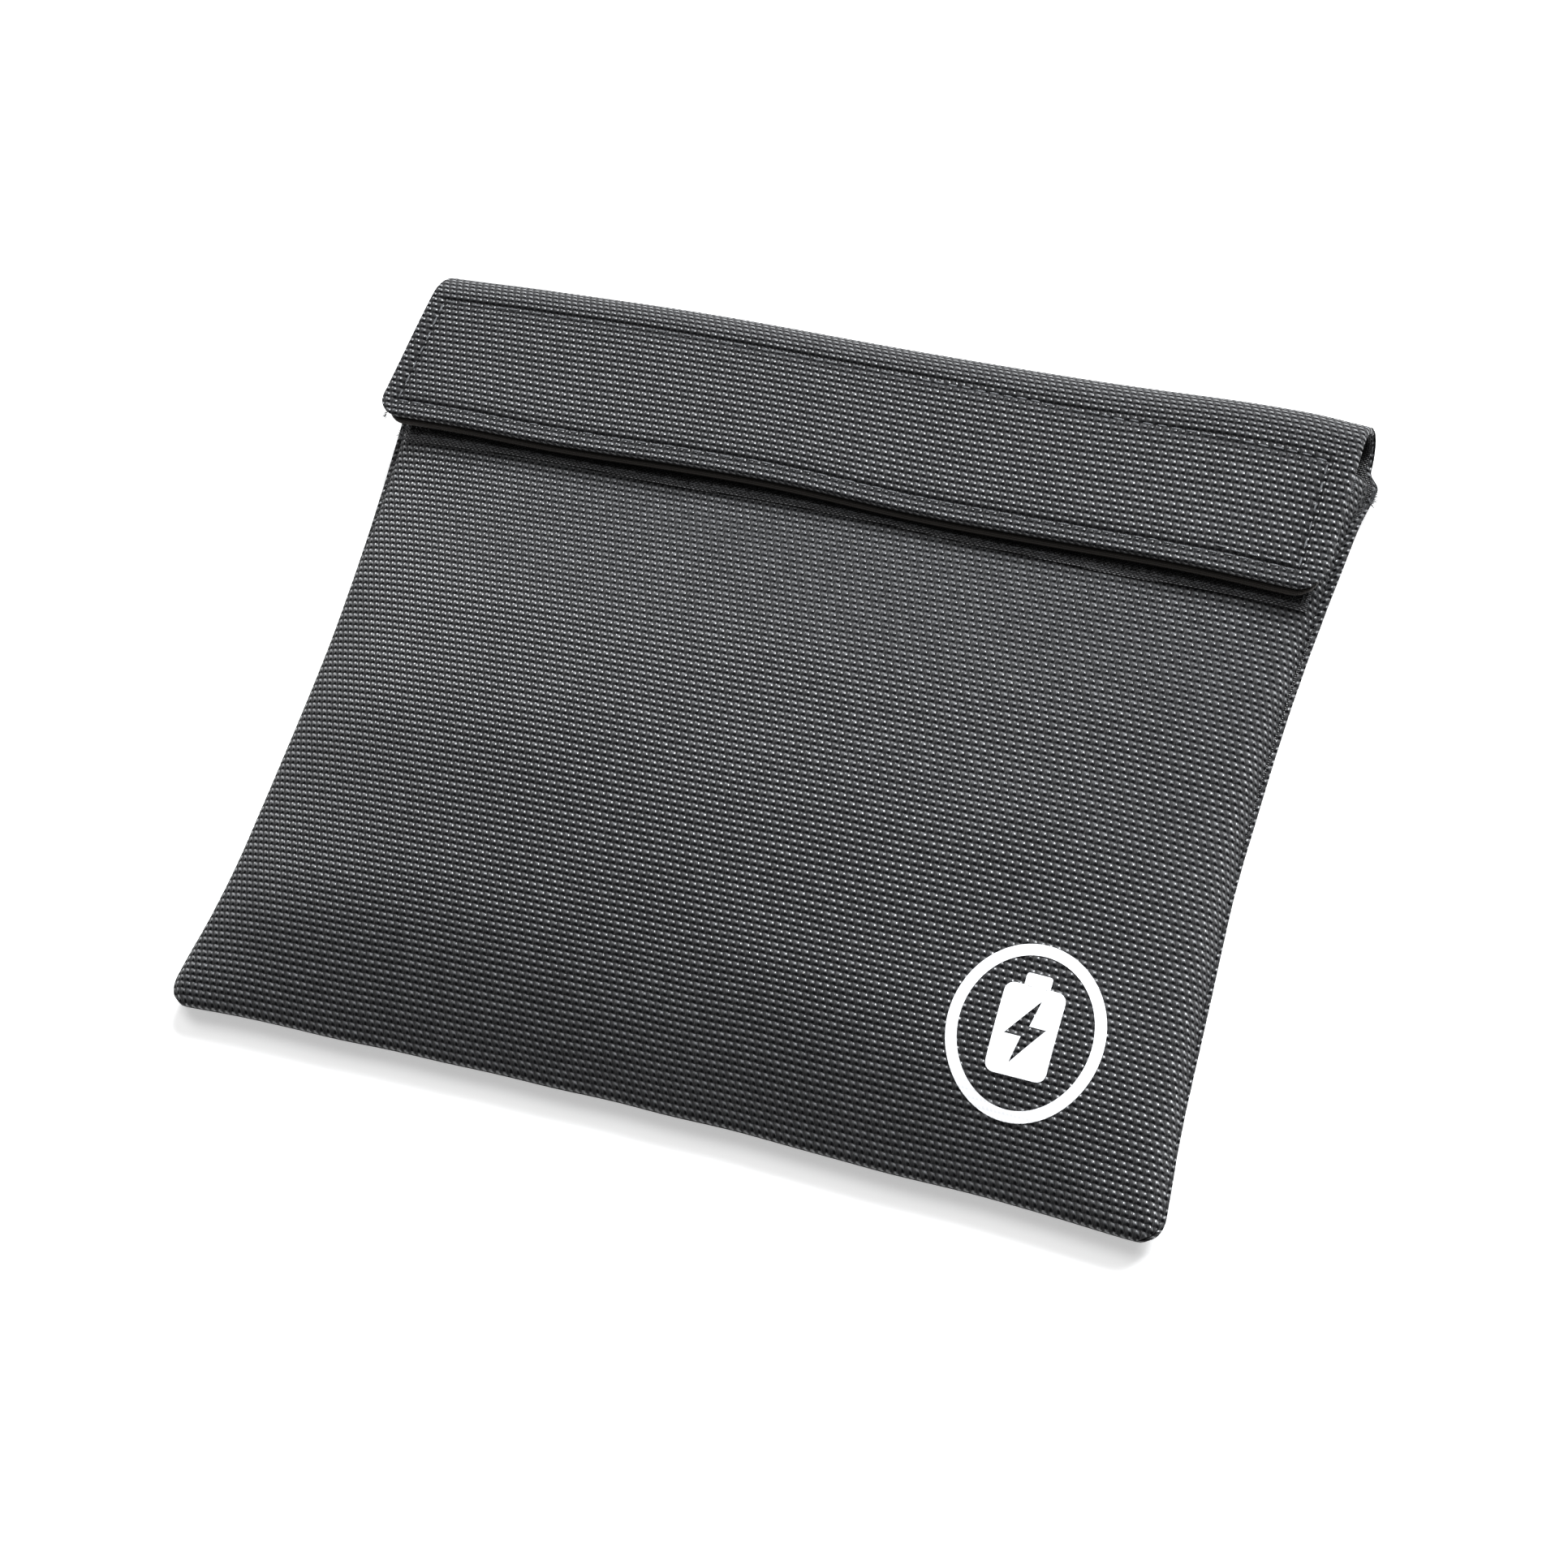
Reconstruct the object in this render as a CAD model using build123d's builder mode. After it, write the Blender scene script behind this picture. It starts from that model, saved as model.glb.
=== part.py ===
from build123d import *
from math import pi, sin
import os

# LiPo safe bag: a turned cloth pouch with a fold-over flap, lying on its back.
# X runs along the mouth, Y from the closed bottom up to the fold, Z through the thickness.
# The origin is on the resting plane, under the middle of the closed bag.

# Driving dimensions, in millimetres
width = 230.0              # over the side seams at the mouth
height = 184.0             # bottom seam to the top of the fold, flap closed
crown = 21.0               # thickness over the puffed middle
mouth_top = 9.0            # outside of the front panel at the mouth
seam_z = 4.5               # height of the side and bottom seams
edge_half = 3.0            # half thickness of the turned bottom edge
waist = 5.5                # how far each side pulls in halfway up
sag = 2.0                  # how far the back would bulge below the resting plane

cloth = 0.8                # outer cloth
liner = 0.4                # fire-resistant lining
ply_gap = 0.05             # air between two layers
thread = 0.5               # sewing thread, laid as a bar

fold_top = 13.6            # outside of the closed flap
flap_left = -114.5
flap_right = 112.5         # the flap sits a little to the left
flap_depth = 36.0          # top of the fold to the flap's lower edge
flap_end = 88.6            # where the flap's layers stop short of the fold
corner = 4.0               # rounded lower corners of pouch and flap
turning_width = 9.0        # cloth turned under along the flap's edges

tape_width = 25.0          # hook and loop tape
tape_base = 0.45
tape_pile = 0.7            # loops or hooks above the tape's base
selvage = 2.5              # bare edge of the tape on each side of its pile
loop_low = 49.5            # lower edge of the loop tape
loop_half = 109.0
hook_low = 59.0
hook_half = 107.0
tape_row = 1.0             # from the tape's edge to its stitch row

mouth_y = 80.0             # top edge of the front panel
hem_depth = 11.0
panel_end = 89.0           # top edge of the back panel, where the fold begins
seam_allowance = 8.0

turning_cloth = 0.7        # the turned-under edge, pressed thinner than the cloth
turning_inset = 0.3        # turned edge and lining stop inside the cover's outline
lining_inset = 1.0
fold_clearance = 3.4       # the upright fold band stops this far from the back and the flap's face
hook_pile_z = 10.5         # tips of the hooks, just over the loops
hem_row = 2.5              # stitch rows, from the mouth and from the flap's edges
flap_row = 4.0
flap_row_side = 5.0
fold_row = 6.5
tack_long = 4.0            # bar tacks at the seam ends
tack_wide = 1.2

half = width / 2
bottom_y = -height / 2
fold_y = height / 2
form_end = fold_y + 4      # the lofted form runs past the mouth and is cut back

# Cross-sections from the bottom seam to past the mouth:
# place along Y, top, underside, squareness (2.4 a pillow, 30 a flat tube)
stations = [
    (bottom_y, seam_z + edge_half, seam_z - edge_half, 30.0),
    (bottom_y + 5, seam_z + edge_half + 1.2, seam_z - edge_half - 1, 20.0),
    (bottom_y + 15, 12.5, 0.0, 7.0),
    (bottom_y + 36, 18.0, -sag, 3.2),
    (bottom_y + 66, crown, -sag, 2.6),
    (0.0, crown - 1.0, -sag, 2.6),
    (28.0, 14.5, -sag, 3.4),
    (50.0, mouth_top + 0.3, -sag, 9.0),
    (64.0, mouth_top, -sag, 22.0),
    (mouth_y, mouth_top, -sag, 30.0),
    (form_end, mouth_top, -sag, 30.0),
]
# Shares of the half width at which each arch of a section has a point
shares = [1.0, 0.985, 0.95, 0.88, 0.74, 0.5, 0.25]


def arch(half_width, rise, square):
    """Points of one arch, from the right seam over the middle to the left seam."""
    right = [(half_width * s, seam_z + rise * (1 - s**square) ** 0.5) for s in shares]
    left = [(-x, z) for x, z in reversed(right)]
    return right + [(0.0, seam_z + rise)] + left


def form(inset):
    """The solid bounded by the pouch's outer surface, moved inwards by inset."""
    form_length = form_end - bottom_y
    with BuildPart() as body:
        for y, top, under, square in stations:
            place = (form_end - y) / form_length
            half_width = half - waist * sin(pi * place) - inset
            with BuildSketch(Plane.XZ.offset(place * (form_length - inset) - form_end)):
                with BuildLine():
                    Spline(*arch(half_width, top - seam_z - inset, square))
                    Spline(*arch(half_width, under - seam_z + inset, square))
                make_face()
        loft()
        split(bisect_by=Plane.XY.offset(inset), keep=Keep.TOP)
        with BuildSketch(Plane.XY.offset(inset)):
            with Locations((0, bottom_y + inset + form_length)):
                RectangleRounded(width - 2 * inset, 2 * form_length, corner)
        extrude(amount=crown + corner, mode=Mode.INTERSECT)
    return body.part


def keep_box(x, y, z):
    """Keeps only what lies between the pairs of limits x, y and z."""
    middle = ((x[0] + x[1]) / 2, (y[0] + y[1]) / 2, (z[0] + z[1]) / 2)
    with Locations(middle):
        Box(x[1] - x[0], y[1] - y[0], z[1] - z[0], mode=Mode.INTERSECT)


full_x = (-half - 5, half + 5)
above_seam = (seam_z + ply_gap, crown + 5)
below_seam = (-1.0, seam_z - ply_gap)
over_bottom = bottom_y - 5

# Nested surfaces of the pouch, from outside to inside
lining_out = cloth + ply_gap
lining_in = lining_out + liner
hem_out = lining_in + ply_gap
hem_in = hem_out + cloth
cloth_face = form(0.0)
cloth_back = form(cloth)
lining_face = form(lining_out)
lining_back = form(lining_in)
hem_face = form(hem_out)
hem_back = form(hem_in)

# Panels of the outer cloth, parted along the seams
with BuildPart() as front_panel:
    add(cloth_face)
    add(cloth_back, mode=Mode.SUBTRACT)
    keep_box(full_x, (over_bottom, mouth_y), above_seam)
front_panel.part.label = "front_panel"

with BuildPart() as back_panel:
    add(cloth_face)
    add(cloth_back, mode=Mode.SUBTRACT)
    keep_box(full_x, (over_bottom, panel_end), below_seam)
back_panel.part.label = "back_panel"

# Linings, one ply in from the cloth
with BuildPart() as front_lining:
    add(lining_face)
    add(lining_back, mode=Mode.SUBTRACT)
    keep_box(full_x, (over_bottom, mouth_y - 0.5), above_seam)
front_lining.part.label = "front_lining"

with BuildPart() as back_lining:
    add(lining_face)
    add(lining_back, mode=Mode.SUBTRACT)
    keep_box(full_x, (over_bottom, panel_end - 0.5), below_seam)
back_lining.part.label = "back_lining"

# Cloth turned in at the mouth of the front panel, and the row of thread that holds it
hem_x = (-half + 12, half - 12)
with BuildPart() as mouth_hem:
    add(hem_face)
    add(hem_back, mode=Mode.SUBTRACT)
    keep_box(hem_x, (mouth_y - hem_depth, mouth_y), above_seam)
mouth_hem.part.label = "mouth_hem"

with BuildPart() as mouth_hem_stitching:
    add(form(-ply_gap - thread / 2))
    add(form(-ply_gap), mode=Mode.SUBTRACT)
    keep_box(hem_x, (mouth_y - hem_row, mouth_y - hem_row + thread), above_seam)
mouth_hem_stitching.part.label = "mouth_hem_stitching"

# Loop tape over the front panel: a thin woven base with the loops standing on it
tape_face = form(-ply_gap)
tape_top = form(-ply_gap - tape_base)
pile_top = form(-ply_gap - tape_base - tape_pile)
loop_high = loop_low + tape_width
with BuildPart() as loop_tape_base:
    add(tape_top)
    add(tape_face, mode=Mode.SUBTRACT)
    keep_box((-loop_half, loop_half), (loop_low, loop_high), above_seam)
loop_tape_base.part.label = "loop_tape_base"

with BuildPart() as loop_pile:
    add(pile_top)
    add(tape_top, mode=Mode.SUBTRACT)
    keep_box((-loop_half, loop_half), (loop_low + selvage, loop_high - selvage), above_seam)
loop_pile.part.label = "loop_pile"

with BuildPart() as loop_tape_stitching:
    add(form(-ply_gap - tape_base - thread / 2))
    add(tape_top, mode=Mode.SUBTRACT)
    keep_box(
        (-loop_half + tape_row, loop_half - tape_row),
        (loop_low + tape_row, loop_high - tape_row),
        above_seam,
    )
    with Locations((0, loop_low + tape_width / 2, crown)):
        Box(width, tape_width - 2 * (tape_row + thread), 2 * crown, mode=Mode.SUBTRACT)
loop_tape_stitching.part.label = "loop_tape_stitching"

# Badge printed on the lower right of the front panel: a ring round a battery with a bolt
badge_x = 79.0
badge_y = -57.0
badge_wide = 33.0
badge_high = 37.0
badge_line = 2.4
battery_wide = 13.0
battery_high = 19.0
battery_corner = 2.0
cap_wide = 5.5
cap_high = 3.0
print_film = 0.15
bolt = [(1.8, 7.0), (-4.2, -1.2), (-0.6, -1.2), (-1.8, -7.0), (4.2, 1.2), (0.6, 1.2)]
with BuildPart() as badge_print:
    add(form(-print_film))
    add(cloth_face, mode=Mode.SUBTRACT)
    with BuildSketch(Plane.XY.offset(seam_z)):
        with Locations((badge_x, badge_y)):
            Ellipse(badge_wide / 2, badge_high / 2)
            Ellipse(badge_wide / 2 - badge_line, badge_high / 2 - badge_line, mode=Mode.SUBTRACT)
            RectangleRounded(battery_wide, battery_high, battery_corner)
        with Locations((badge_x, badge_y + (battery_high + cap_high) / 2 - thread)):
            Rectangle(cap_wide, cap_high)
        with Locations((badge_x, badge_y)):
            Polygon(*bolt, mode=Mode.SUBTRACT)
    extrude(amount=crown, mode=Mode.INTERSECT)
badge_print.part.label = "badge_print"

# Seam allowances: four plies turned inwards at the height of the seams
ply_stack = cloth + liner
allowance_z = (seam_z - ply_stack, seam_z + ply_stack)
side_y = (bottom_y + hem_out + seam_allowance + 2, mouth_y - hem_depth - 1)
bottom_strip = (bottom_y, side_y[0] - 1)
inner_half = half - waist - hem_out - seam_allowance
pieces = []
for name, x_limits, y_limits in (
    ("left_seam_allowance", (-half, -1.0), side_y),
    ("right_seam_allowance", (1.0, half), side_y),
    ("bottom_seam_allowance", full_x, bottom_strip),
):
    with BuildPart() as allowance:
        add(hem_face)
        keep_box(x_limits, y_limits, allowance_z)
        with Locations((0, bottom_strip[1] + height / 2 - 1, seam_z)):
            Box(2 * inner_half, height, 2 * seam_z, mode=Mode.SUBTRACT)
    allowance.part.label = name
    pieces.append(allowance.part)

# Seam threads: one bar of lockstitch along the top of each allowance
thread_z = seam_z + ply_stack
thread_x = inner_half + 2.0
for name, x, y, x_size, y_size in (
    ("left_seam_thread", -thread_x, sum(side_y) / 2, thread, side_y[1] - side_y[0] - 2),
    ("right_seam_thread", thread_x, sum(side_y) / 2, thread, side_y[1] - side_y[0] - 2),
    ("bottom_seam_thread", 0.0, bottom_strip[1] - 3, 2 * thread_x - 4, thread),
):
    with BuildPart() as seam_thread:
        with BuildSketch(Plane.XY.offset(thread_z)):
            with Locations((x, y)):
                Rectangle(x_size, y_size)
        extrude(amount=thread)
    seam_thread.part.label = name
    pieces.append(seam_thread.part)

# Tacks that lock the upper ends of the side seams, outside the mouth's corners
with BuildPart() as seam_end_tacks:
    with BuildSketch(Plane.XY.offset(1.5)):
        with Locations((-half + 4.5, panel_end - 4), (half - 4.5, panel_end - 4)):
            SlotOverall(tack_long, tack_wide, rotation=90)
    extrude(amount=tack_wide)
seam_end_tacks.part.label = "seam_end_tacks"

# Fold: the band of back-panel cloth that turns over the mouth, with its lining
fold_half = (flap_right - flap_left) / 2
flap_x = (flap_right + flap_left) / 2
fold_z = (fold_clearance, fold_top - fold_clearance)
for name, y, thick in (
    ("fold_band", fold_y - cloth / 2, cloth),
    ("fold_lining", fold_y - cloth - ply_gap - liner / 2, liner),
):
    with BuildPart() as fold_ply:
        with BuildSketch(Plane.XY.offset(fold_z[0])):
            with Locations((flap_x, y)):
                Rectangle(2 * fold_half, thick)
        extrude(amount=fold_z[1] - fold_z[0])
    fold_ply.part.label = name
    pieces.append(fold_ply.part)

# Flap, from its outside inwards: cover, turned-under edge, lining, hook tape
flap_low = fold_y - flap_depth
cover_z = fold_top - cloth
turning_z = cover_z - ply_gap - turning_cloth
flap_lining_z = turning_z - ply_gap - liner
hook_base_z = flap_lining_z - ply_gap - tape_base


def flap_outline(inset):
    """Plan of the flap, inset along its two sides and lower edge, with rounded lower corners."""
    with Locations((flap_x, (flap_end + flap_low + inset) / 2)):
        Rectangle(2 * (fold_half - inset), flap_end - flap_low - inset)
    lower_corners = vertices().sort_by(Axis.Y)[:2]
    fillet(lower_corners, radius=corner - inset)


with BuildPart() as flap_cover:
    with BuildSketch(Plane.XY.offset(cover_z)):
        flap_outline(0.0)
    extrude(amount=cloth)
flap_cover.part.label = "flap_cover"

with BuildPart() as flap_turning:
    with BuildSketch(Plane.XY.offset(turning_z)):
        flap_outline(turning_inset)
        with Locations((flap_x, flap_end)):
            Rectangle(
                2 * (fold_half - turning_width),
                2 * (flap_end - flap_low - turning_width),
                mode=Mode.SUBTRACT,
            )
    extrude(amount=turning_cloth)
flap_turning.part.label = "flap_turning"

with BuildPart() as flap_lining:
    with BuildSketch(Plane.XY.offset(flap_lining_z)):
        flap_outline(lining_inset)
    extrude(amount=liner)
flap_lining.part.label = "flap_lining"

# Hook tape: base against the flap's lining, hooks facing the loop tape
hook_middle = hook_low + tape_width / 2
with BuildPart() as hook_tape:
    with BuildSketch(Plane.XY.offset(hook_base_z)):
        with Locations((flap_x, hook_middle)):
            Rectangle(2 * hook_half, tape_width)
    extrude(amount=tape_base)
    with BuildSketch(Plane.XY.offset(hook_pile_z)):
        with Locations((flap_x, hook_middle)):
            Rectangle(2 * hook_half, tape_width - 2 * selvage)
    extrude(amount=hook_base_z - hook_pile_z)
hook_tape.part.label = "hook_tape"

# Box stitching: a long rectangle of thread bars on the flap's face
stitch_low = flap_low + flap_row
stitch_high = fold_y - fold_row
stitch_half = fold_half - flap_row_side
with BuildPart() as flap_stitching:
    with BuildSketch(Plane.XY.offset(fold_top)):
        with Locations((flap_x, (stitch_low + stitch_high) / 2)):
            Rectangle(2 * stitch_half + thread, stitch_high - stitch_low + thread)
            Rectangle(
                2 * stitch_half - thread,
                stitch_high - stitch_low - thread,
                mode=Mode.SUBTRACT,
            )
    extrude(amount=thread / 2)
flap_stitching.part.label = "flap_stitching"

pieces += [
    front_panel.part,
    back_panel.part,
    front_lining.part,
    back_lining.part,
    mouth_hem.part,
    mouth_hem_stitching.part,
    loop_tape_base.part,
    loop_pile.part,
    loop_tape_stitching.part,
    badge_print.part,
    seam_end_tacks.part,
    flap_cover.part,
    flap_turning.part,
    flap_lining.part,
    hook_tape.part,
    flap_stitching.part,
]
os.makedirs("parts", exist_ok=True)
for piece in pieces:
    export_step(piece, f"parts/{piece.label}.step")
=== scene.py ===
import bpy
import math
import random
from mathutils import Matrix, Vector, noise
from mathutils.bvhtree import BVHTree


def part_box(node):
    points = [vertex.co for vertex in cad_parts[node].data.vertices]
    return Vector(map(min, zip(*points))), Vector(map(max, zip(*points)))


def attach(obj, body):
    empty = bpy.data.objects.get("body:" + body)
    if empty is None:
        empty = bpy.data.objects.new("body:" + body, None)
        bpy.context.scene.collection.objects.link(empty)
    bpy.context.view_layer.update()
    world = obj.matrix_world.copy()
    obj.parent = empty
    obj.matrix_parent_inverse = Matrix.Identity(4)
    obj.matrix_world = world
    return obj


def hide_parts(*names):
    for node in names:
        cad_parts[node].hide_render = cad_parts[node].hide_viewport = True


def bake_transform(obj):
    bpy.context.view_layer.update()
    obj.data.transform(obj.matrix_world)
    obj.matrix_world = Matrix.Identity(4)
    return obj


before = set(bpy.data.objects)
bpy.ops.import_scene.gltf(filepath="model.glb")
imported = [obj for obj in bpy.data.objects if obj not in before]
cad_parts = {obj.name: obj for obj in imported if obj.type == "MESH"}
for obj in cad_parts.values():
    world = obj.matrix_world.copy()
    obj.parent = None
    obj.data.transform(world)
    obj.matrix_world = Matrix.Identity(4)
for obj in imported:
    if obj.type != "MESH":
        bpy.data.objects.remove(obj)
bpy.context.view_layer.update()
random.seed(11)
mm = 0.001

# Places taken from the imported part
frontLow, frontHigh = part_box("front_panel")
backLow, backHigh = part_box("back_panel")
coverLow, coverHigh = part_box("flap_cover")
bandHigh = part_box("fold_band")[1]
tapeLow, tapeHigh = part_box("loop_tape_base")
hookLow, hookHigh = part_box("hook_tape")
badgeLow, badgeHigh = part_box("badge_print")
foldRadius = coverHigh.z / 2
foldCentre = bandHigh.y - foldRadius
seamHeight = backHigh.z
flapMiddle = (coverLow.x + coverHigh.x) / 2
flapHalf = (coverHigh.x - coverLow.x) / 2
quarter = foldRadius * math.pi / 2      # cloth in half of the fold
flapFlat = foldCentre - coverLow.y      # from the fold to the flap's lower edge


# General helpers
def clearSelection():
    if bpy.context.object and bpy.context.object.mode != "OBJECT":
        bpy.ops.object.mode_set(mode="OBJECT")
    bpy.ops.object.select_all(action="DESELECT")


def pick(*objects):
    clearSelection()
    for obj in objects:
        obj.select_set(True)
    bpy.context.view_layer.objects.active = objects[0]
    return objects[0]


def named(name):
    obj = bpy.context.object
    obj.name = name
    obj.data.name = name
    return obj


def applyModifier(obj, kind, **settings):
    pick(obj)
    modifier = obj.modifiers.new(kind.lower(), kind)
    for key, value in settings.items():
        setattr(modifier, key, value)
    bpy.ops.object.modifier_apply(modifier=modifier.name)
    return obj


def settle(obj):
    # size, turn and place go into the mesh
    pick(obj)
    bpy.ops.object.transform_apply(location=True, rotation=True, scale=True)
    return obj


def smooth(obj, angle=40):
    pick(obj)
    bpy.ops.object.shade_smooth_by_angle(angle=math.radians(angle))
    return obj


def reshape(obj, place):
    for vertex in obj.data.vertices:
        vertex.co = place(vertex.co)
    obj.data.update()
    return obj


def treeOf(obj):
    return BVHTree.FromObject(obj, bpy.context.evaluated_depsgraph_get())


def clamped(value, low=0, high=1):
    return min(max(value, low), high)


def smoothStep(value, low, high):
    share = clamped((value - low) / (high - low))
    return share * share * (3 - 2 * share)


def roundOver(share):
    # a quarter round: 0 at the edge, 1 where the cloth levels out
    return math.sqrt(share * (2 - share))


def roundCorner(x, y, cornerX, cornerY, radius):
    # square corner of a grid eased onto a quarter circle
    dx = max(abs(x) - cornerX, 0)
    dy = max(cornerY - y, 0)
    reach = math.hypot(dx, dy)
    if dx == 0 or dy == 0:
        return x, y
    share = max(dx, dy) / reach
    return math.copysign(cornerX + dx * share, x), cornerY - dy * share


# Materials
class Wire:
    def __init__(self, tree, socket=None):
        self.tree = tree
        self.socket = socket

    def make(self, kind, settings=None, links=None, output=0):
        node = self.tree.nodes.new(kind)
        for key, value in (settings or {}).items():
            setattr(node, key, value)
        for key, value in (links or {}).items():
            if isinstance(value, Wire):
                self.tree.links.new(value.socket, node.inputs[key])
            else:
                node.inputs[key].default_value = value
        return Wire(self.tree, node.outputs[output])

    def calc(self, operation, *values):
        return self.make("ShaderNodeMath", {"operation": operation}, dict(enumerate(values)))

    def __add__(self, other): return self.calc("ADD", self, other)
    def __radd__(self, other): return self.calc("ADD", other, self)
    def __sub__(self, other): return self.calc("SUBTRACT", self, other)
    def __rsub__(self, other): return self.calc("SUBTRACT", other, self)
    def __mul__(self, other): return self.calc("MULTIPLY", self, other)
    def __rmul__(self, other): return self.calc("MULTIPLY", other, self)
    def __truediv__(self, other): return self.calc("DIVIDE", self, other)

    def ease(self, low, high):
        # 0 below low, 1 above high, eased between
        return self.make("ShaderNodeMapRange", {"interpolation_type": "SMOOTHSTEP"},
                         {"Value": self, "From Min": low, "From Max": high})


def newMaterial(name):
    material = bpy.data.materials.new(name)
    material.use_nodes = True
    tree = material.node_tree
    shader = tree.nodes["Principled BSDF"]
    return material, Wire(tree), shader


def connect(tree, shader, **wires):
    for key, wire in wires.items():
        tree.tree.links.new(wire.socket, shader.inputs[key.replace("_", " ")])


def blendColour(tree, share, first, second):
    settings = {"data_type": "RGBA"}
    colour = [value if isinstance(value, Wire) else (*value, 1) for value in (first, second)]
    return tree.make("ShaderNodeMix", settings, {0: share, 6: colour[0], 7: colour[1]}, output=2)


def setSockets(shader, values):
    for key, value in values.items():
        shader.inputs[key].default_value = value


def noiseOf(tree, place, scale, detail):
    return tree.make("ShaderNodeTexNoise", None, {"Vector": place, "Scale": scale, "Detail": detail})


def weavePlaces(tree):
    # a sheet's own measure, in metres: the whole place, across and along
    uv = tree.make("ShaderNodeUVMap", {"uv_map": "weave"})
    across, along = (tree.make("ShaderNodeSeparateXYZ", None, {0: uv}, output) for output in (0, 1))
    return uv, across, along


def mixShaders(tree, share, low, high):
    return tree.make("ShaderNodeMixShader", None, {0: share, 1: low, 2: high})


def wovenMaterial(name, look):
    # plain weave: each yarn goes over and under its neighbours, its round floats catch the light; painted
    # highlights and shade in the colour
    material, tree, shader = newMaterial(name)
    uv, across, along = weavePlaces(tree)
    drift = noiseOf(tree, uv, look["driftScale"], 2.0)
    wander = (drift - 0.5) * look["wander"]
    a = (across + along * look["skew"]) / look["pitchX"] + wander
    b = along / look["pitchY"] + wander
    column = tree.calc("FLOOR", a)
    row = tree.calc("FLOOR", b)
    warpWave = tree.calc("COSINE", (b - column - 0.5) * math.pi)
    weftWave = tree.calc("COSINE", (a - row - 0.5) * math.pi) * -1
    warpRound = tree.calc("ABSOLUTE", tree.calc("SINE", a * math.pi))
    weftRound = tree.calc("ABSOLUTE", tree.calc("SINE", b * math.pi))
    warp = warpWave * look["lift"] + warpRound
    weft = weftWave * look["lift"] + weftRound
    height = tree.calc("MAXIMUM", warp, weft)
    weftOnTop = (weft - warp).ease(-0.08, 0.08)
    # each float's twisted filaments run slantwise over it
    slant = tree.calc("SINE", (across + along * 0.45) * (2 * math.pi / look["filament"]))
    crest = height.ease(look["crestLow"], look["crestHigh"])
    patch = noiseOf(tree, uv, look["patchScale"], 3.0)
    yarn = tree.make("ShaderNodeTexWhiteNoise", {"noise_dimensions": "2D"},
                     {"Vector": tree.make("ShaderNodeCombineXYZ", None, {0: column, 1: row})})
    # painted light: weft floats, which face the lamp, take a lighter colour than warp floats
    floats = blendColour(tree, weftOnTop, look["warp"], look["weft"])
    # painted highlight: the upper side of each weft float is coloured lighter in a short arc leaning down to the
    # right; the arc also picks the glossier shader below
    reach = tree.calc("FRACT", (a - row - 0.5) * 0.5) - 0.5
    level = tree.calc("FRACT", b) - 0.5
    offset = level - look["arcHeight"] + reach * reach * look["arcBow"] + reach * look["arcLean"]
    ends = 1.0 - tree.calc("ABSOLUTE", reach).ease(look["arcHalf"] - look["arcFade"], look["arcHalf"])
    arcHighlight = tree.calc("EXPONENT", offset * offset * -look["arcThin"]) * ends
    # painted shade: a dark patch under the right half of each float, where the float shades the gap beside it
    gapX, gapY = reach - look["gapRight"], level + look["gapBelow"]
    gap = tree.calc("EXPONENT", (gapX * gapX * look["gapNarrow"] + gapY * gapY * look["gapLow"]) * -1)
    # painted shade: each float is coloured darker down towards the hollows around it
    plain = (0.17 + 0.12 * patch + 0.1 * yarn + 0.05 * slant) * (0.5 + 0.5 * crest)
    # the arc adds a painted highlight to the tone, the gap a painted shade
    tone = (plain + arcHighlight * (0.26 + 0.36 * yarn)) * (1.0 - gap * look["gap"])
    # painted shade along the flap's stitch grooves, from a share stored on the flap's points
    grooveShade = tree.make("ShaderNodeAttribute", {"attribute_name": "grooveShade"}, output=2)
    # low tone blends to the near black hole colour: painted shade down between the yarns
    colour = blendColour(tree, tone * (1.0 - grooveShade * look["grooveShade"]), look["hole"], floats)
    shine = look["roughWarp"] + (look["roughWeft"] - look["roughWarp"]) * weftOnTop
    rough = 1.0 - (1.0 - shine) * crest + (patch - 0.5) * 0.1
    surface = height + slant * look["filamentDepth"] + (yarn - 0.5) * 0.12
    bump = tree.make("ShaderNodeBump", None,
                     {"Height": surface, "Distance": look["depth"], "Strength": look["strength"]})
    connect(tree, shader, Base_Color=colour, Roughness=rough, Normal=bump)
    setSockets(shader, {"Specular IOR Level": look["specular"]})
    # glossier arcs and the gaps are shaders of their own, laid over the plain yarn; the gap shader is flat near
    # black without reflection, painted shade
    glint = tree.make("ShaderNodeBsdfPrincipled", None, {
        "Base Color": colour, "Normal": bump, "Roughness": look["glintRough"],
        "Specular IOR Level": look["glint"]})
    shadePit = tree.make("ShaderNodeBsdfPrincipled", None, {
        "Base Color": (*look["hole"], 1), "Roughness": 1.0, "Specular IOR Level": 0.0})
    lit = mixShaders(tree, arcHighlight, Wire(tree.tree, shader.outputs[0]), glint)
    connect(tree, tree.tree.nodes["Material Output"], Surface=mixShaders(tree, gap * look["gap"], lit, shadePit))
    return material


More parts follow.
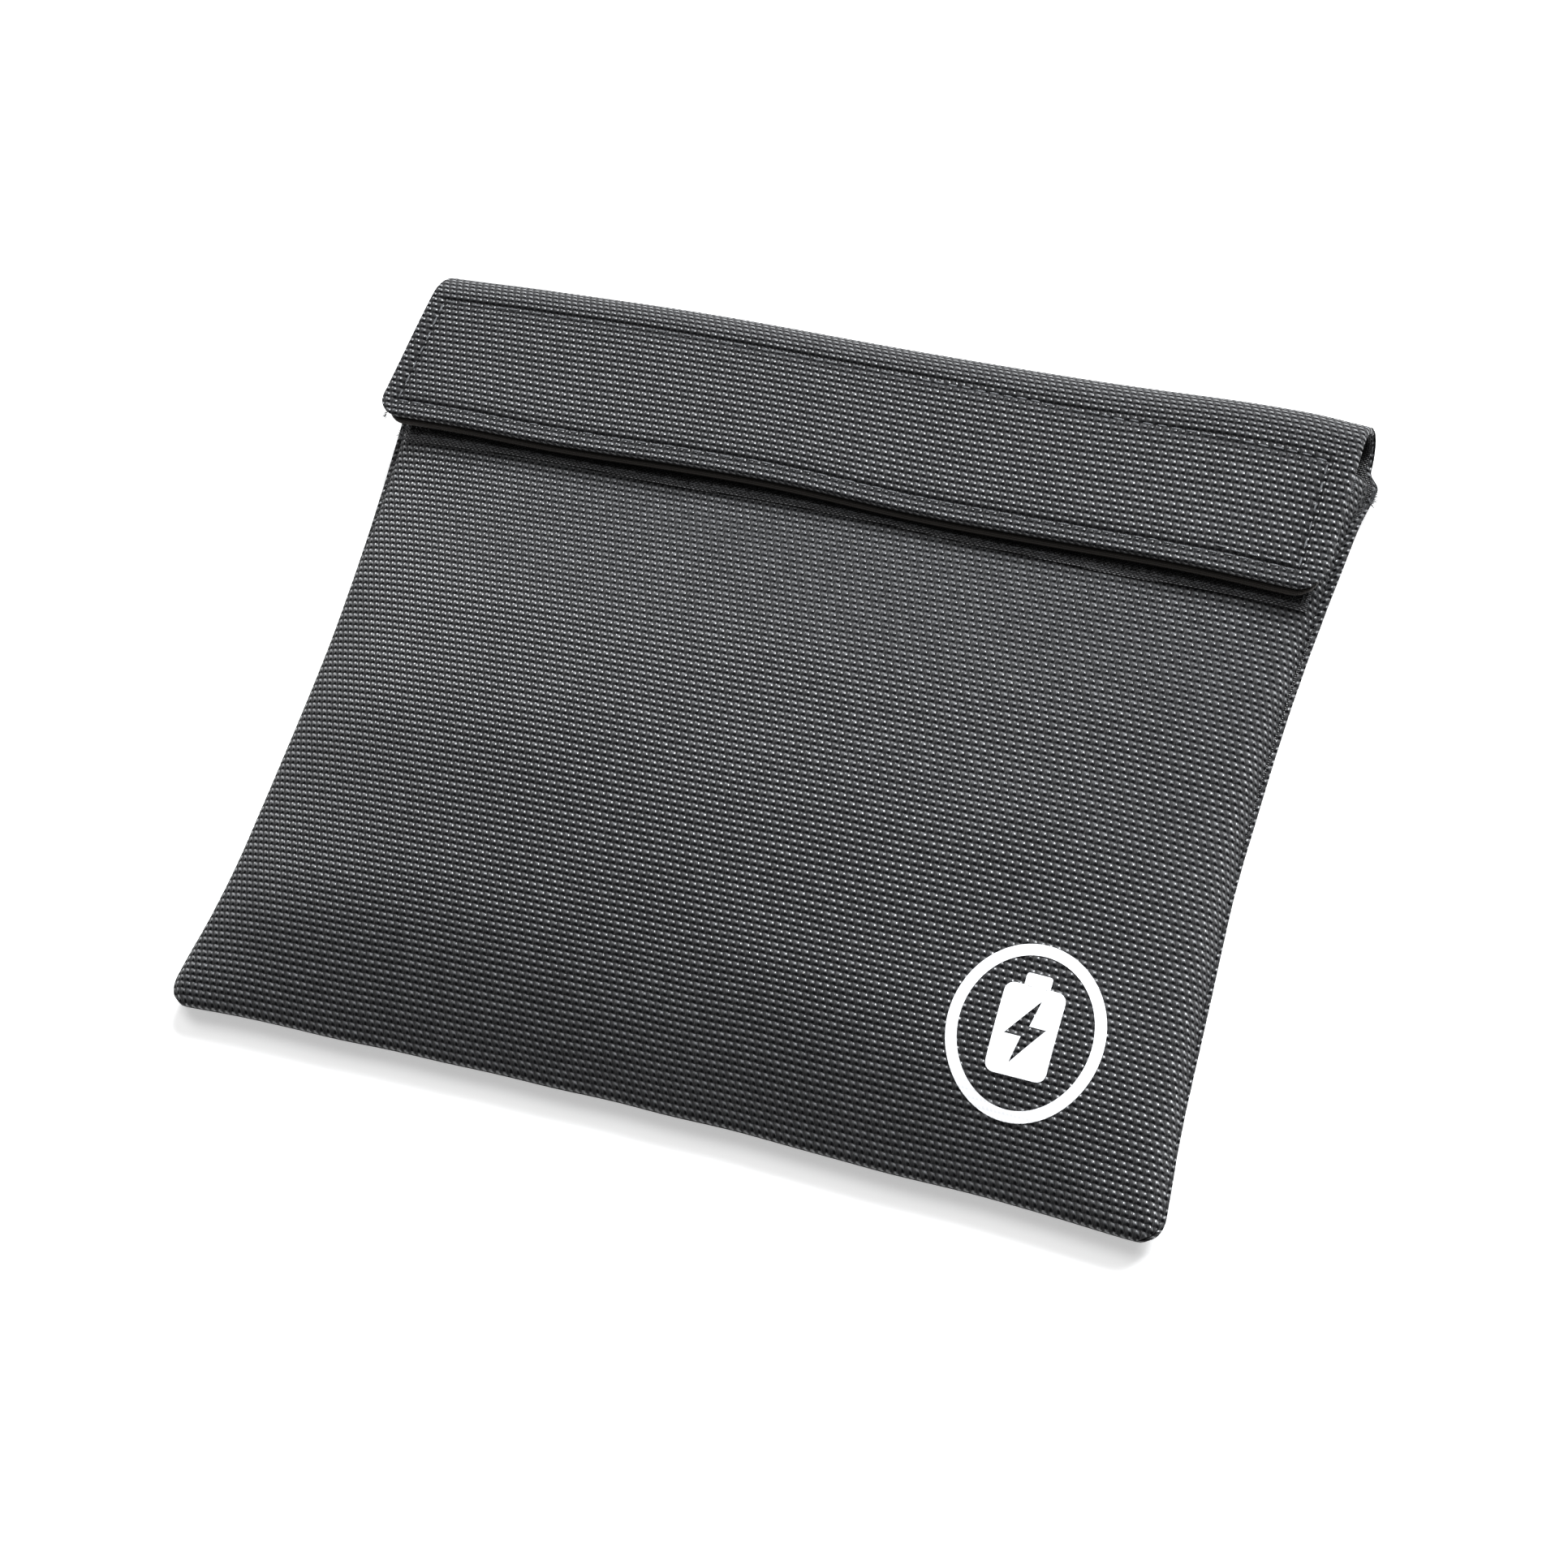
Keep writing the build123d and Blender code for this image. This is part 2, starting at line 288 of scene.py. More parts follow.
# hole is the painted shade colour between yarns; weft is painted lighter than warp; one strength paints shade in
# the stitch grooves
clothLook = {
    "pitchX": 0.86 * mm, "pitchY": 1.515 * mm, "driftScale": 30.0, "wander": 0.35, "lift": 0.55,
    "filament": 0.36 * mm, "filamentDepth": 0.05, "crestLow": 0.25, "crestHigh": 1.3,
    "patchScale": 26.0, "warp": (0.13, 0.13, 0.133), "weft": (0.17, 0.174, 0.182), "skew": -0.07,
    "hole": (0.003, 0.003, 0.0035), "roughWarp": 0.62, "roughWeft": 0.36, "depth": 0.34 * mm,
    "strength": 0.9, "specular": 0.1, "grooveShade": 0.6, "glint": 1.0, "glintRough": 0.3,
    # painted highlight arc and painted shade gap, in shares of one float's length and height
    "arcHeight": 0.24, "arcBow": 0.9, "arcLean": 0.62, "arcThin": 46.0, "arcHalf": 0.46, "arcFade": 0.12,
    "gap": 0.97, "gapRight": 0.2, "gapBelow": 0.24, "gapNarrow": 12.0, "gapLow": 13.0,
}
liningLook = dict(clothLook, pitchX=0.5 * mm, pitchY=0.5 * mm, filament=0.2 * mm, depth=0.08 * mm,
                  warp=(0.03, 0.03, 0.031), weft=(0.04, 0.04, 0.042), roughWarp=0.5, roughWeft=0.5, wander=0.2)
# the tape's colours sit far above its own near black: partly its own dark colour, partly painted light standing in
# for the light that reaches under the flap
tapePaintedLightLook = dict(clothLook, pitchX=0.55 * mm, pitchY=0.42 * mm, filament=0.2 * mm, depth=0.14 * mm,
                warp=(0.1, 0.1, 0.104), weft=(0.3, 0.3, 0.31), roughWarp=0.6, roughWeft=0.5, wander=0.15)


def fibreMaterial(name, colour, light, rough, scale):
    # thread, loops and hooks: fine streaks along twisted filaments
    material, tree, shader = newMaterial(name)
    place = tree.make("ShaderNodeTexCoord", output=3)
    streak = tree.make("ShaderNodeTexWave", {"bands_direction": "DIAGONAL"},
                       {"Vector": place, "Scale": scale, "Distortion": 2.0, "Detail": 2.0}, output=1)
    grain = noiseOf(tree, place, scale * 0.6, 3.0)
    colour = blendColour(tree, streak * 0.6 + grain * 0.4, colour, light)
    bump = tree.make("ShaderNodeBump", None, {"Height": streak + grain * 0.3, "Distance": 0.05 * mm})
    connect(tree, shader, Base_Color=colour, Roughness=rough + (grain - 0.5) * 0.2, Normal=bump)
    setSockets(shader, {"Specular IOR Level": 0.25})
    return material


def printMaterial(name):
    # white film pressed into the weave: the yarns show through, and the film is coloured greyer down in the hollows
    # between them
    material, tree, shader = newMaterial(name)
    uv, across, along = weavePlaces(tree)
    bumps = tree.calc("ABSOLUTE", tree.calc("SINE", across / clothLook["pitchX"] * math.pi))
    rows = tree.calc("ABSOLUTE", tree.calc("SINE", along / clothLook["pitchY"] * math.pi))
    height = bumps * rows
    grain = noiseOf(tree, uv, 900.0, 4.0)
    hollowGrey = (0.05 - height + (grain - 0.5) * 0.2).ease(0.0, 0.15)
    colour = blendColour(tree, hollowGrey, (0.88, 0.89, 0.91), (0.55, 0.56, 0.58))
    bump = tree.make("ShaderNodeBump", None, {"Height": height + grain * 0.1, "Distance": 0.05 * mm})
    connect(tree, shader, Base_Color=colour, Roughness=0.42 + grain * 0.2, Normal=bump)
    return material


def ribMaterial(name, dark, light, rib):
    # grosgrain: fine ribs across the flap, coloured a little lighter on their tops
    material, tree, shader = newMaterial(name)
    uv, across, along = weavePlaces(tree)
    grain = noiseOf(tree, uv, 700.0, 3.0)
    ribs = tree.calc("ABSOLUTE", tree.calc("SINE", along * (math.pi / rib)))
    beads = tree.calc("ABSOLUTE", tree.calc("SINE", across * (math.pi / (rib * 0.8))))
    height = ribs + beads * 0.35
    colour = blendColour(tree, height * 0.5 + grain * 0.4, dark, light)
    bump = tree.make("ShaderNodeBump", None, {"Height": height + grain * 0.3, "Distance": 0.12 * mm})
    connect(tree, shader, Base_Color=colour, Roughness=0.6 + grain * 0.2, Normal=bump)
    setSockets(shader, {"Specular IOR Level": 0.2})
    return material


def lintMaterial(name):
    material, tree, shader = newMaterial(name)
    place = tree.make("ShaderNodeTexCoord", output=3)
    grain = noiseOf(tree, place, 400.0, 2.0)
    colour = blendColour(tree, grain, (0.18, 0.16, 0.13), (0.5, 0.48, 0.42))
    connect(tree, shader, Base_Color=colour, Roughness=0.6 + grain * 0.3)
    return material


outerCloth = wovenMaterial("black woven nylon", clothLook)
liningCloth = wovenMaterial("fire resistant lining", liningLook)
tapeCloth = wovenMaterial("tape webbing with painted light", tapePaintedLightLook)
threadStuff = fibreMaterial("sewing thread", (0.012, 0.012, 0.013), (0.15, 0.155, 0.165), 0.45, 1800.0)
loopStuff = fibreMaterial("tape loops", (0.002, 0.002, 0.002), (0.02, 0.02, 0.021), 0.55, 700.0)
hookStuff = fibreMaterial("tape hooks", (0.006, 0.006, 0.006), (0.025, 0.025, 0.026), 0.45, 900.0)
printFilm = printMaterial("white print")
ribStuff = ribMaterial("ribbed flap lining", (0.010, 0.009, 0.008), (0.05, 0.044, 0.04), 0.55 * mm)
lintStuff = lintMaterial("pale lint")


def dress(obj, material, body=None):
    obj.data.materials.clear()
    obj.data.materials.append(material)
    if body:
        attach(obj, body)
    return obj


print("materials ready")

# Sheets of cloth are grids: rows of points run across the pouch, denser towards the edges
def denser(count, ease=0.75):
    return [i / count - ease * math.sin(2 * math.pi * i / count) / (2 * math.pi) for i in range(count + 1)]


def resample(points, shares):
    # points at given shares of a path's length, with their places along it from the middle
    lengths = [0.0]
    for first, second in zip(points, points[1:]):
        lengths.append(lengths[-1] + (second - first).length)
    total = lengths[-1]
    placed, along = [], []
    index = 0
    for share in shares:
        goal = total * share
        while index < len(points) - 2 and lengths[index + 1] < goal:
            index += 1
        span = max(lengths[index + 1] - lengths[index], 1e-9)
        placed.append(points[index].lerp(points[index + 1], clamped((goal - lengths[index]) / span)))
        along.append(goal - total / 2)
    return placed, along


def weaveLayer(obj):
    layer = obj.data.uv_layers.active or obj.data.uv_layers.new(name="UVMap")
    layer.name = "weave"
    return layer


def sheetFromRows(name, rows, uvs):
    clearSelection()
    columns = len(rows[0]) - 1
    bpy.ops.mesh.primitive_grid_add(x_subdivisions=columns, y_subdivisions=len(rows) - 1, size=1)
    obj = named(name)
    flat = []
    for r, row in enumerate(rows):
        for c, point in enumerate(row):
            obj.data.vertices[r * (columns + 1) + c].co = point
            flat.append(uvs[r][c])
    layer = weaveLayer(obj)
    for loop in obj.data.loops:
        layer.data[loop.index].uv = flat[loop.vertex_index]
    obj.data.update()
    return obj


def thicken(obj, thickness, levels=1, offset=-1):
    applyModifier(obj, "SOLIDIFY", thickness=thickness, offset=offset)
    if levels:
        applyModifier(obj, "SUBSURF", levels=levels, render_levels=levels)
    return smooth(obj, 70)


def turnOver(obj):
    pick(obj)
    bpy.ops.object.mode_set(mode="EDIT")
    bpy.ops.mesh.select_all(action="SELECT")
    bpy.ops.mesh.flip_normals()
    bpy.ops.object.mode_set(mode="OBJECT")
    return obj


def softWave(x, y, size, height, seed=0.0):
    return height * noise.noise(Vector((x / size, y / size, seed)))


above = Vector((0, 0, 1))
frontForm = treeOf(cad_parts["front_panel"])
backForm = treeOf(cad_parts["back_panel"])


def sideReach(form, y, z, fallback):
    # half width of a form at one place up the pouch
    hit = form.ray_cast(Vector((1, y, z)), Vector((-1, 0, 0)))[0]
    return hit.x if hit else fallback


def formTop(x, y, fallback):
    hit = frontForm.ray_cast(Vector((x, y, 1)), -above)[0]
    return hit.z if hit else fallback


def formUnder(x, y, fallback):
    hit = backForm.ray_cast(Vector((x, y, -1)), above)[0]
    return hit.z if hit else fallback


# The pouch's outline, shared by both panels
outlineParts = {
    "bottomStart": 0.4 * mm, "cornerRadius": 6.5 * mm, "bow": 2.1 * mm, "ripple": 0.5 * mm,
    "rippleSize": 22 * mm, "bowEnd": -40 * mm, "leftFlare": 0.019, "flareStart": -88 * mm, "flareEnd": -55 * mm,
}


def bottomBow(point, half):
    # the bottom seam is drawn up in the middle, and its left corner flares
    parts = outlineParts
    fade = 1 - smoothStep(point.y, frontLow.y, parts["bowEnd"])
    if point.x < 0:
        point.x *= 1 + parts["leftFlare"] * (1 - smoothStep(point.y, parts["flareStart"], parts["flareEnd"]))
    ripple = softWave(point.x, 0, parts["rippleSize"], parts["ripple"], 1.7)
    point.y += (parts["bow"] * (1 - (point.x / half) ** 2) + ripple) * fade
    return point


def cornerPull(y, low):
    # bottom corners are rounded
    radius = outlineParts["cornerRadius"]
    gap = max(radius - max(y - low, 0), 0)
    return radius - math.sqrt(radius * radius - gap * gap)


# Front panel: cloth laid over the CAD form, then blown up a little between its seams
frontParts = {
    "columns": 100, "rows": 78, "turnRows": 4, "hemRows": 4, "cloth": 0.8 * mm, "hemDepth": 11 * mm,
    "hemTurn": 1.05 * mm, "hemPull": 0.012, "valleyMouth": 1.6 * mm, "valleyBottom": 0.7 * mm,
    "spread": 1.2 * mm, "bottomRoll": 13 * mm, "shoulder": 3.0 * mm, "wave": 0.7 * mm, "waveSize": 45 * mm,
    "droop": 1.4 * mm, "samples": 160, "slack": 1.006, "pressure": 1.2, "frames": 16, "cap": 2.5 * mm,
    "mouthRows": 22,
    "stuff": {"quality": 5, "mass": 0.3, "tension_stiffness": 40, "compression_stiffness": 40,
              "shear_stiffness": 15, "bending_stiffness": 8},
}


def frontHalf(y):
    parts = frontParts
    share = smoothStep(y, frontLow.y, frontHigh.y)
    valley = parts["valleyBottom"] + (parts["valleyMouth"] - parts["valleyBottom"]) * share
    inside = clamped(y, frontLow.y + 1.5 * mm, frontHigh.y - 1.5 * mm)
    reach = sideReach(frontForm, inside, seamHeight + 0.4 * mm, frontHigh.x)
    return reach - valley + parts["spread"] - cornerPull(y, frontLow.y)


def frontHeight(x, y, inset=0.0):
    parts = frontParts
    edge = seamHeight + 0.1 * mm
    top = formTop(x * 0.985, clamped(y, frontLow.y + 0.5 * mm, frontHigh.y - 0.3 * mm), edge)
    nearBottom = clamped((y - frontLow.y - outlineParts["bottomStart"]) / parts["bottomRoll"])
    side = clamped((frontHalf(y) - abs(x)) / parts["shoulder"])
    wave = softWave(x, y, parts["waveSize"], parts["wave"], 3.1) * (1 - smoothStep(y, 35 * mm, 50 * mm))
    droop = parts["droop"] * (1 - smoothStep(y, frontLow.y, -54 * mm)) * nearBottom
    rise = max(top, edge) + wave * side * nearBottom - droop - inset - edge
    return edge + max(rise, 0) * (roundOver(nearBottom) * roundOver(side))


def frontRows(parts, inset=0.0, hem=True):
    rows, uvs = [], []
    low = frontLow.y + outlineParts["bottomStart"] + inset
    high = frontHigh.y - (0 if hem else 1.3 * mm)
    shares = denser(parts["columns"])
    for t in denser(parts["rows"]):
        y = low + (high - low) * t
        outer = frontHalf(y)
        half = outer - inset * 1.6
        count = parts["samples"]
        path = [Vector((half * (2 * i / count - 1), y, 0)) for i in range(count + 1)]
        for point in path:
            point.z = frontHeight(point.x * outer / half, y, inset)
        placed, along = resample([bottomBow(point, half) for point in path], shares)
        rows.append(placed)
        uvs.append([(a, y) for a in along])
    if hem:
        last, lastUv = rows[-1], uvs[-1]
        turn = parts["hemTurn"]
        for step in range(1, parts["turnRows"] + 1):
            angle = math.pi * step / parts["turnRows"]
            shift = Vector((0, turn * math.sin(angle), turn * (math.cos(angle) - 1)))
            rows.append([point + shift for point in last])
            uvs.append([(u, v + turn * angle) for u, v in lastUv])
        for step in range(1, parts["hemRows"] + 1):
            back = parts["hemDepth"] * step / parts["hemRows"]
            shift = Vector((0, -back, -2 * turn))
            narrow = 1 - parts["hemPull"] * step / parts["hemRows"]
            rows.append([Vector((point.x * narrow, point.y, point.z)) + shift for point in last])
            uvs.append([(u, v + turn * math.pi + back) for u, v in lastUv])
    return rows, uvs


def blowUp(obj, parts):
    # cloth simulation between pinned seams; the slack in the cut gathers as soft waves along them
    before = [vertex.co.copy() for vertex in obj.data.vertices]
    columns, rows = parts["columns"], parts["rows"]
    pick(obj)
    group = obj.vertex_groups.new(name="seams")
    total = rows + parts["turnRows"] + parts["hemRows"]
    for r in range(total + 1):
        for c in range(columns + 1):
            if r < 1 or r >= rows - parts["mouthRows"] or c in (0, columns):
                group.add([r * (columns + 1) + c], 1.0, "REPLACE")
    obj.shape_key_add(name="laid")
    cut = obj.shape_key_add(name="cut")
    middle = Vector((0, 0, seamHeight))
    for index, co in enumerate(before):
        cut.data[index].co = middle + (co - middle) * parts["slack"]
    modifier = obj.modifiers.new("cloth", "CLOTH")
    settings = modifier.settings
    for key, value in parts["stuff"].items():
        setattr(settings, key, value)
    settings.use_pressure = True
    settings.uniform_pressure_force = parts["pressure"]
    settings.vertex_group_mass = "seams"
    settings.rest_shape_key = cut
    settings.effector_weights.gravity = 0
    modifier.point_cache.frame_start = 1
    modifier.point_cache.frame_end = parts["frames"]
    scene = bpy.context.scene
    for number in range(1, parts["frames"] + 1):
        scene.frame_set(number)
    shaped = obj.evaluated_get(bpy.context.evaluated_depsgraph_get())
    moved = [vertex.co.copy() for vertex in shaped.data.vertices]
    obj.modifiers.remove(modifier)
    obj.shape_key_clear()
    scene.frame_set(1)
    for vertex, start, end in zip(obj.data.vertices, before, moved):
        step = end - start
        if step.length > parts["cap"]:
            step *= parts["cap"] / step.length
        vertex.co = start + step
    obj.vertex_groups.clear()
    print("front panel blown up, largest move", max((end - start).length for start, end in zip(before, moved)))


frontPanel = sheetFromRows("frontPanel", *frontRows(frontParts))
blowUp(frontPanel, frontParts)
frontTree = BVHTree.FromPolygons([vertex.co for vertex in frontPanel.data.vertices],
                                 [polygon.vertices for polygon in frontPanel.data.polygons])


def frontZ(x, y):
    hit = frontTree.ray_cast(Vector((x, y, 1)), -above)[0]
    return hit.z if hit else seamHeight + 0.5 * mm


thicken(frontPanel, frontParts["cloth"])
dress(frontPanel, outerCloth, "pouch")
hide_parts("front_panel", "mouth_hem")

pouchLining = {"front": 0.95 * mm, "back": 0.9 * mm, "thickness": 0.35 * mm}
liningGrid = dict(frontParts, columns=70, rows=50)
frontLining = sheetFromRows("frontLining", *frontRows(liningGrid, pouchLining["front"], False))
thicken(frontLining, pouchLining["thickness"])
dress(frontLining, liningCloth, "pouch")
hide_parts("front_lining")
print("front panel ready")


# Back panel: lies on its back, rim turned up and in at the seams, and runs on into the fold
backParts = {
    "columns": 96, "rows": 74, "foldRows": 8, "cloth": 0.8 * mm, "lip": 4.0 * mm, "shoulder": 3.2 * mm,
    "wallEnd": 16 * mm, "spread": 1.5 * mm, "samples": 140,
}
foldParts = {
    # two swells along the ridge, as height, place and half width, and the falls at its ends
    "swells": ((1.0 * mm, -45 * mm, 40 * mm), (0.9 * mm, 88 * mm, 25 * mm)), "fallRight": 0.6 * mm,
    "fallLeft": 0.5 * mm, "leanIn": 4.0 * mm, "leanOut": 1.7 * mm,
}


def foldShift(x):
    # the fold's ridge swells here and there, and falls away a little towards its ends
    swell = sum(height * math.exp(-((x - place) / width) ** 2) for height, place, width in foldParts["swells"])
    right = foldParts["fallRight"] * smoothStep(x, 98 * mm, 113 * mm)
    return swell - right - foldParts["fallLeft"] * smoothStep(-x, 85 * mm, 113 * mm)


def foldX(x, share):
    # the left end leans: pulled in at the fold, out at the flap's lower edge
    lean = foldParts["leanIn"] * (1 - share) - foldParts["leanOut"] * share
    return x + lean * smoothStep(-x, 40 * mm, 114 * mm)


def backHalf(y):
    inside = clamped(y, backLow.y + 1.5 * mm, backHigh.y - 1.5 * mm)
    reach = sideReach(backForm, inside, seamHeight - 0.4 * mm, backHigh.x)
    return reach + backParts["spread"] - cornerPull(y, backLow.y)


def backHeight(x, y, half, flatter):
    under = formUnder(x * 0.985, clamped(y, backLow.y + mm, backHigh.y - mm), 0.0)
    nearBottom = clamped((y - backLow.y - outlineParts["bottomStart"]) / backParts["shoulder"])
    side = clamped((half - abs(x)) / backParts["shoulder"])
    drop = roundOver(nearBottom) * roundOver(side)
    return (seamHeight - (seamHeight - under) * drop) * flatter


def backRows(parts, inset=0.0):
    rows, uvs = [], []
    low = backLow.y + outlineParts["bottomStart"] + inset
    shares = denser(parts["columns"])
    count = parts["samples"]
    levels = [foldCentre * t + low * (1 - t) for t in denser(parts["rows"])]
    for y in [low + 3.0 * mm, low + 0.7 * mm] + levels:
        turned = len(rows) < 2      # the first two rows are the bottom edge, turned in
        flatter = 1 - smoothStep(y, foldCentre - parts["wallEnd"], foldCentre - 3 * mm)
        half = backHalf(low if turned else y) - inset
        rim, limit = (seamHeight - 0.2 * mm) * flatter, (seamHeight - 0.9 * mm) * flatter
        path = [Vector((half * (2 * i / count - 1), y, rim)) for i in range(count + 1)]
        if not turned:
            for point in path:
                point.z = min(backHeight(point.x, y, half, flatter), limit) + inset
            top = rim + inset * (1 - flatter)
            lip = [(parts["lip"], top), (0.9 * mm, top), (0.25 * mm, top - 0.25 * mm * flatter)]
            path = ([Vector((-half + dx, y, z)) for dx, z in lip] + path
                    + [Vector((half - dx, y, z)) for dx, z in reversed(lip)])
        narrow = smoothStep(y, foldCentre - 4 * mm, foldCentre)
        for point in path:
            limit = (coverHigh.x if point.x > 0 else -foldX(coverLow.x, 0)) - inset
            point.x *= 1 + (limit / half - 1) * narrow
            point.y += foldShift(point.x) * smoothStep(y, foldCentre - 30 * mm, foldCentre)
        placed, along = resample([bottomBow(point, half) for point in path], shares)
        rows.append(placed)
        uvs.append([(a, 2 * low - y if turned else y) for a in along])
    last, lastUv = rows[-1], uvs[-1]
    radius = foldRadius - inset
    for step in range(1, parts["foldRows"] + 1):
        angle = step / parts["foldRows"] * math.pi / 2
        out, height = radius * math.sin(angle), foldRadius - radius * math.cos(angle)
        rows.append([Vector((point.x, foldCentre + foldShift(point.x) + out, height)) for point in last])
        uvs.append([(u, v + foldRadius * angle) for u, v in lastUv])
    return rows, uvs


backPanel = turnOver(sheetFromRows("backPanel", *backRows(backParts)))
thicken(backPanel, backParts["cloth"])
dress(backPanel, outerCloth)
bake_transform(backPanel)
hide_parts("back_panel")

liningGrid = dict(backParts, columns=64, rows=44, lip=2 * mm)
backLining = turnOver(sheetFromRows("backLining", *backRows(liningGrid, pouchLining["back"])))
thicken(backLining, pouchLining["thickness"])
dress(backLining, liningCloth)
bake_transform(backLining)
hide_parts("back_lining")
print("back panel ready")


# Seam allowances lie folded flat inside the seams, the raw edges of both panels sewn together
allowanceParts = {
    "width": 7 * mm, "inset": 3.2 * mm, "thickness": 0.9 * mm, "rise": 0.55 * mm, "rows": 4, "columns": 80,
    "rippleSize": 9 * mm, "ripple": 0.4 * mm, "start": 4 * mm, "mouthGap": 12 * mm, "cornerGap": 12 * mm,
}


def allowancePlace(side, share, offset):
    parts = allowanceParts
    low = frontLow.y + parts["start"]
    if side == "bottom":
        x = (share * 2 - 1) * (frontHalf(low) - parts["cornerGap"])
        return Vector((x, frontLow.y + offset + softWave(x, 0, parts["rippleSize"], parts["ripple"]), 0))
    y = low + (frontHigh.y - parts["mouthGap"] - low) * share
    x = frontHalf(y) - offset + softWave(y, 0, parts["rippleSize"], parts["ripple"])
    return Vector((x if side == "right" else -x, y, 0))


def seamAllowance(side):
    parts = allowanceParts
    rows = []
    for i in range(parts["rows"] + 1):
        offset = parts["inset"] + parts["width"] * i / parts["rows"]
        row = [allowancePlace(side, j / parts["columns"], offset) for j in range(parts["columns"] + 1)]
        for point in row:
            point.z = seamHeight - 0.4 * mm + parts["rise"] * i / parts["rows"]
        rows.append(row)
    obj = sheetFromRows(side + "Allowance", rows, [[(point.x, point.y) for point in row] for row in rows])
    thicken(obj, parts["thickness"], 0, 0)
    dress(obj, outerCloth, "pouch")
    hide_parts(side + "_seam_allowance")


for side in ("left", "right", "bottom"):
    seamAllowance(side)
print("seam allowances ready")


# Flap, modelled as it was cut: x, distance from the fold's middle, depth under the outer face
flapParts = {
    "columns": 128, "rows": 40, "cloth": 0.75 * mm, "turnDown": 1.35 * mm, "turnUnder": 8 * mm,
    "cornerRadius": 6 * mm, "dipLeft": 3.0 * mm, "dipRight": 4.9 * mm, "crown": 0.4 * mm, "endDrop": 1.0 * mm,
    "dropWidth": 26 * mm, "weaveShare": 1.19, "groove": 0.45 * mm, "grooveWidth": 0.9 * mm,
    "rowInset": 3.6 * mm, "leftInset": 4.5 * mm, "rightInset": 6.5 * mm, "topRow": 12.3 * mm,
    "topSlant": 3.2 * mm,
}
flapCut = quarter + flapFlat
rowLeft = coverLow.x + flapParts["leftInset"]
rowRight = coverHigh.x - flapParts["rightInset"]
rowBottom = flapCut - flapParts["rowInset"]


def rowTop(x):
    return flapParts["topRow"] + flapParts["topSlant"] * smoothStep(x, 0, 112 * mm)


def grooveDepth(x, s):
    # the box of stitches is pulled down into the cloth
    width = flapParts["grooveWidth"]
    inX = rowLeft - width < x < rowRight + width
    inS = rowTop(x) - width < s < rowBottom + width
    near = min(abs(s - rowTop(x)) if inX else 1, abs(s - rowBottom) if inX else 1,
               abs(x - rowLeft) if inS else 1, abs(x - rowRight) if inS else 1)
    return flapParts["groove"] * math.exp(-(near / width) ** 2)


def flapPlace(co):
    parts = flapParts
    x, s, h = co.x, -co.y, -co.z
    down = smoothStep(s, quarter, flapCut)
    dip = parts["dipLeft"] + (parts["dipRight"] - parts["dipLeft"]) * smoothStep(x, -20 * mm, 60 * mm)
    dip += 0.35 * mm * math.sin(x / (14 * mm))
    crown = parts["crown"] * (1 - (x / flapHalf) ** 2) + softWave(x, s, 30 * mm, 0.5 * mm, 7.3)
    h = h + grooveDepth(x, s) * (1 if h < 0.6 * mm else 0.3)
    x = foldX(x, s / flapCut)
    shift = foldShift(x)
    if s < quarter:
        angle = s / foldRadius
        reach = foldRadius - h
        return Vector((x, foldCentre + shift + reach * math.cos(angle), foldRadius + reach * math.sin(angle)))
    ends = parts["endDrop"] * smoothStep(abs(x - flapMiddle), flapHalf - parts["dropWidth"], flapHalf) * down
    y = foldCentre + shift * (1 - down) - (s - quarter) - dip * down
    return Vector((x, y, 2 * foldRadius - h + crown * down - ends))


def flapSheet(name, left, right, start, finish, columns, rows, depthAt, corner=0.0, hem=None):
    # a cut between two x places and two distances down the flap
    shares, downs = denser(columns), [i / rows for i in range(rows + 1)]
    middle, half = (left + right) / 2, (right - left) / 2
    flatRows, uvs = [], []
    for t in downs:
        s = start + (finish - start) * t
        row, uv = [], []
        for share in shares:
            x = left + (right - left) * share
            px, py = x, -s
            if corner:
                px, py = roundCorner(x - middle, -s, half - corner, -finish + corner, corner)
                px += middle
            row.append(Vector((px, py, -depthAt(px, -py))))
            uv.append((px, foldCentre + quarter + py * flapParts["weaveShare"]))
        flatRows.append(row)
        uvs.append(uv)
    if hem:
        # lower edge rolls under and lies back against the flap
        down, under = hem
        last, lastUv = flatRows[-1], uvs[-1]
        roll = ((down * 0.35, -0.3 * mm), (down * 0.75, -0.2 * mm), (down, 0.4 * mm), (down, under / 2),
                (down, under))
        for lowered, inward in roll:
            pulled = 1 - 0.9 * mm * lowered / down / half
            flatRows.append([Vector((middle + (point.x - middle) * pulled, point.y + inward, point.z - lowered))
                             for point in last])
            uvs.append([(u, v - lowered - max(inward, 0)) for u, v in lastUv])
    return sheetFromRows(name, flatRows[::-1], uvs[::-1])


def sideHems(obj, down):
    # left and right edges roll under too
    for vertex in obj.data.vertices:
        edge = coverLow.x if vertex.co.x < flapMiddle else coverHigh.x
        near = abs(vertex.co.x - edge)
        if near < down and vertex.co.z > -0.1 * mm:
            vertex.co.z -= down - math.sqrt(down * down - (down - near) ** 2)


flapCover = flapSheet(
    "flapCover", coverLow.x, coverHigh.x, 0.0, flapCut, flapParts["columns"], flapParts["rows"],
    lambda x, s: 0.0, flapParts["cornerRadius"], (flapParts["turnDown"], flapParts["turnUnder"]))
sideHems(flapCover, flapParts["turnDown"])
thicken(flapCover, flapParts["cloth"])
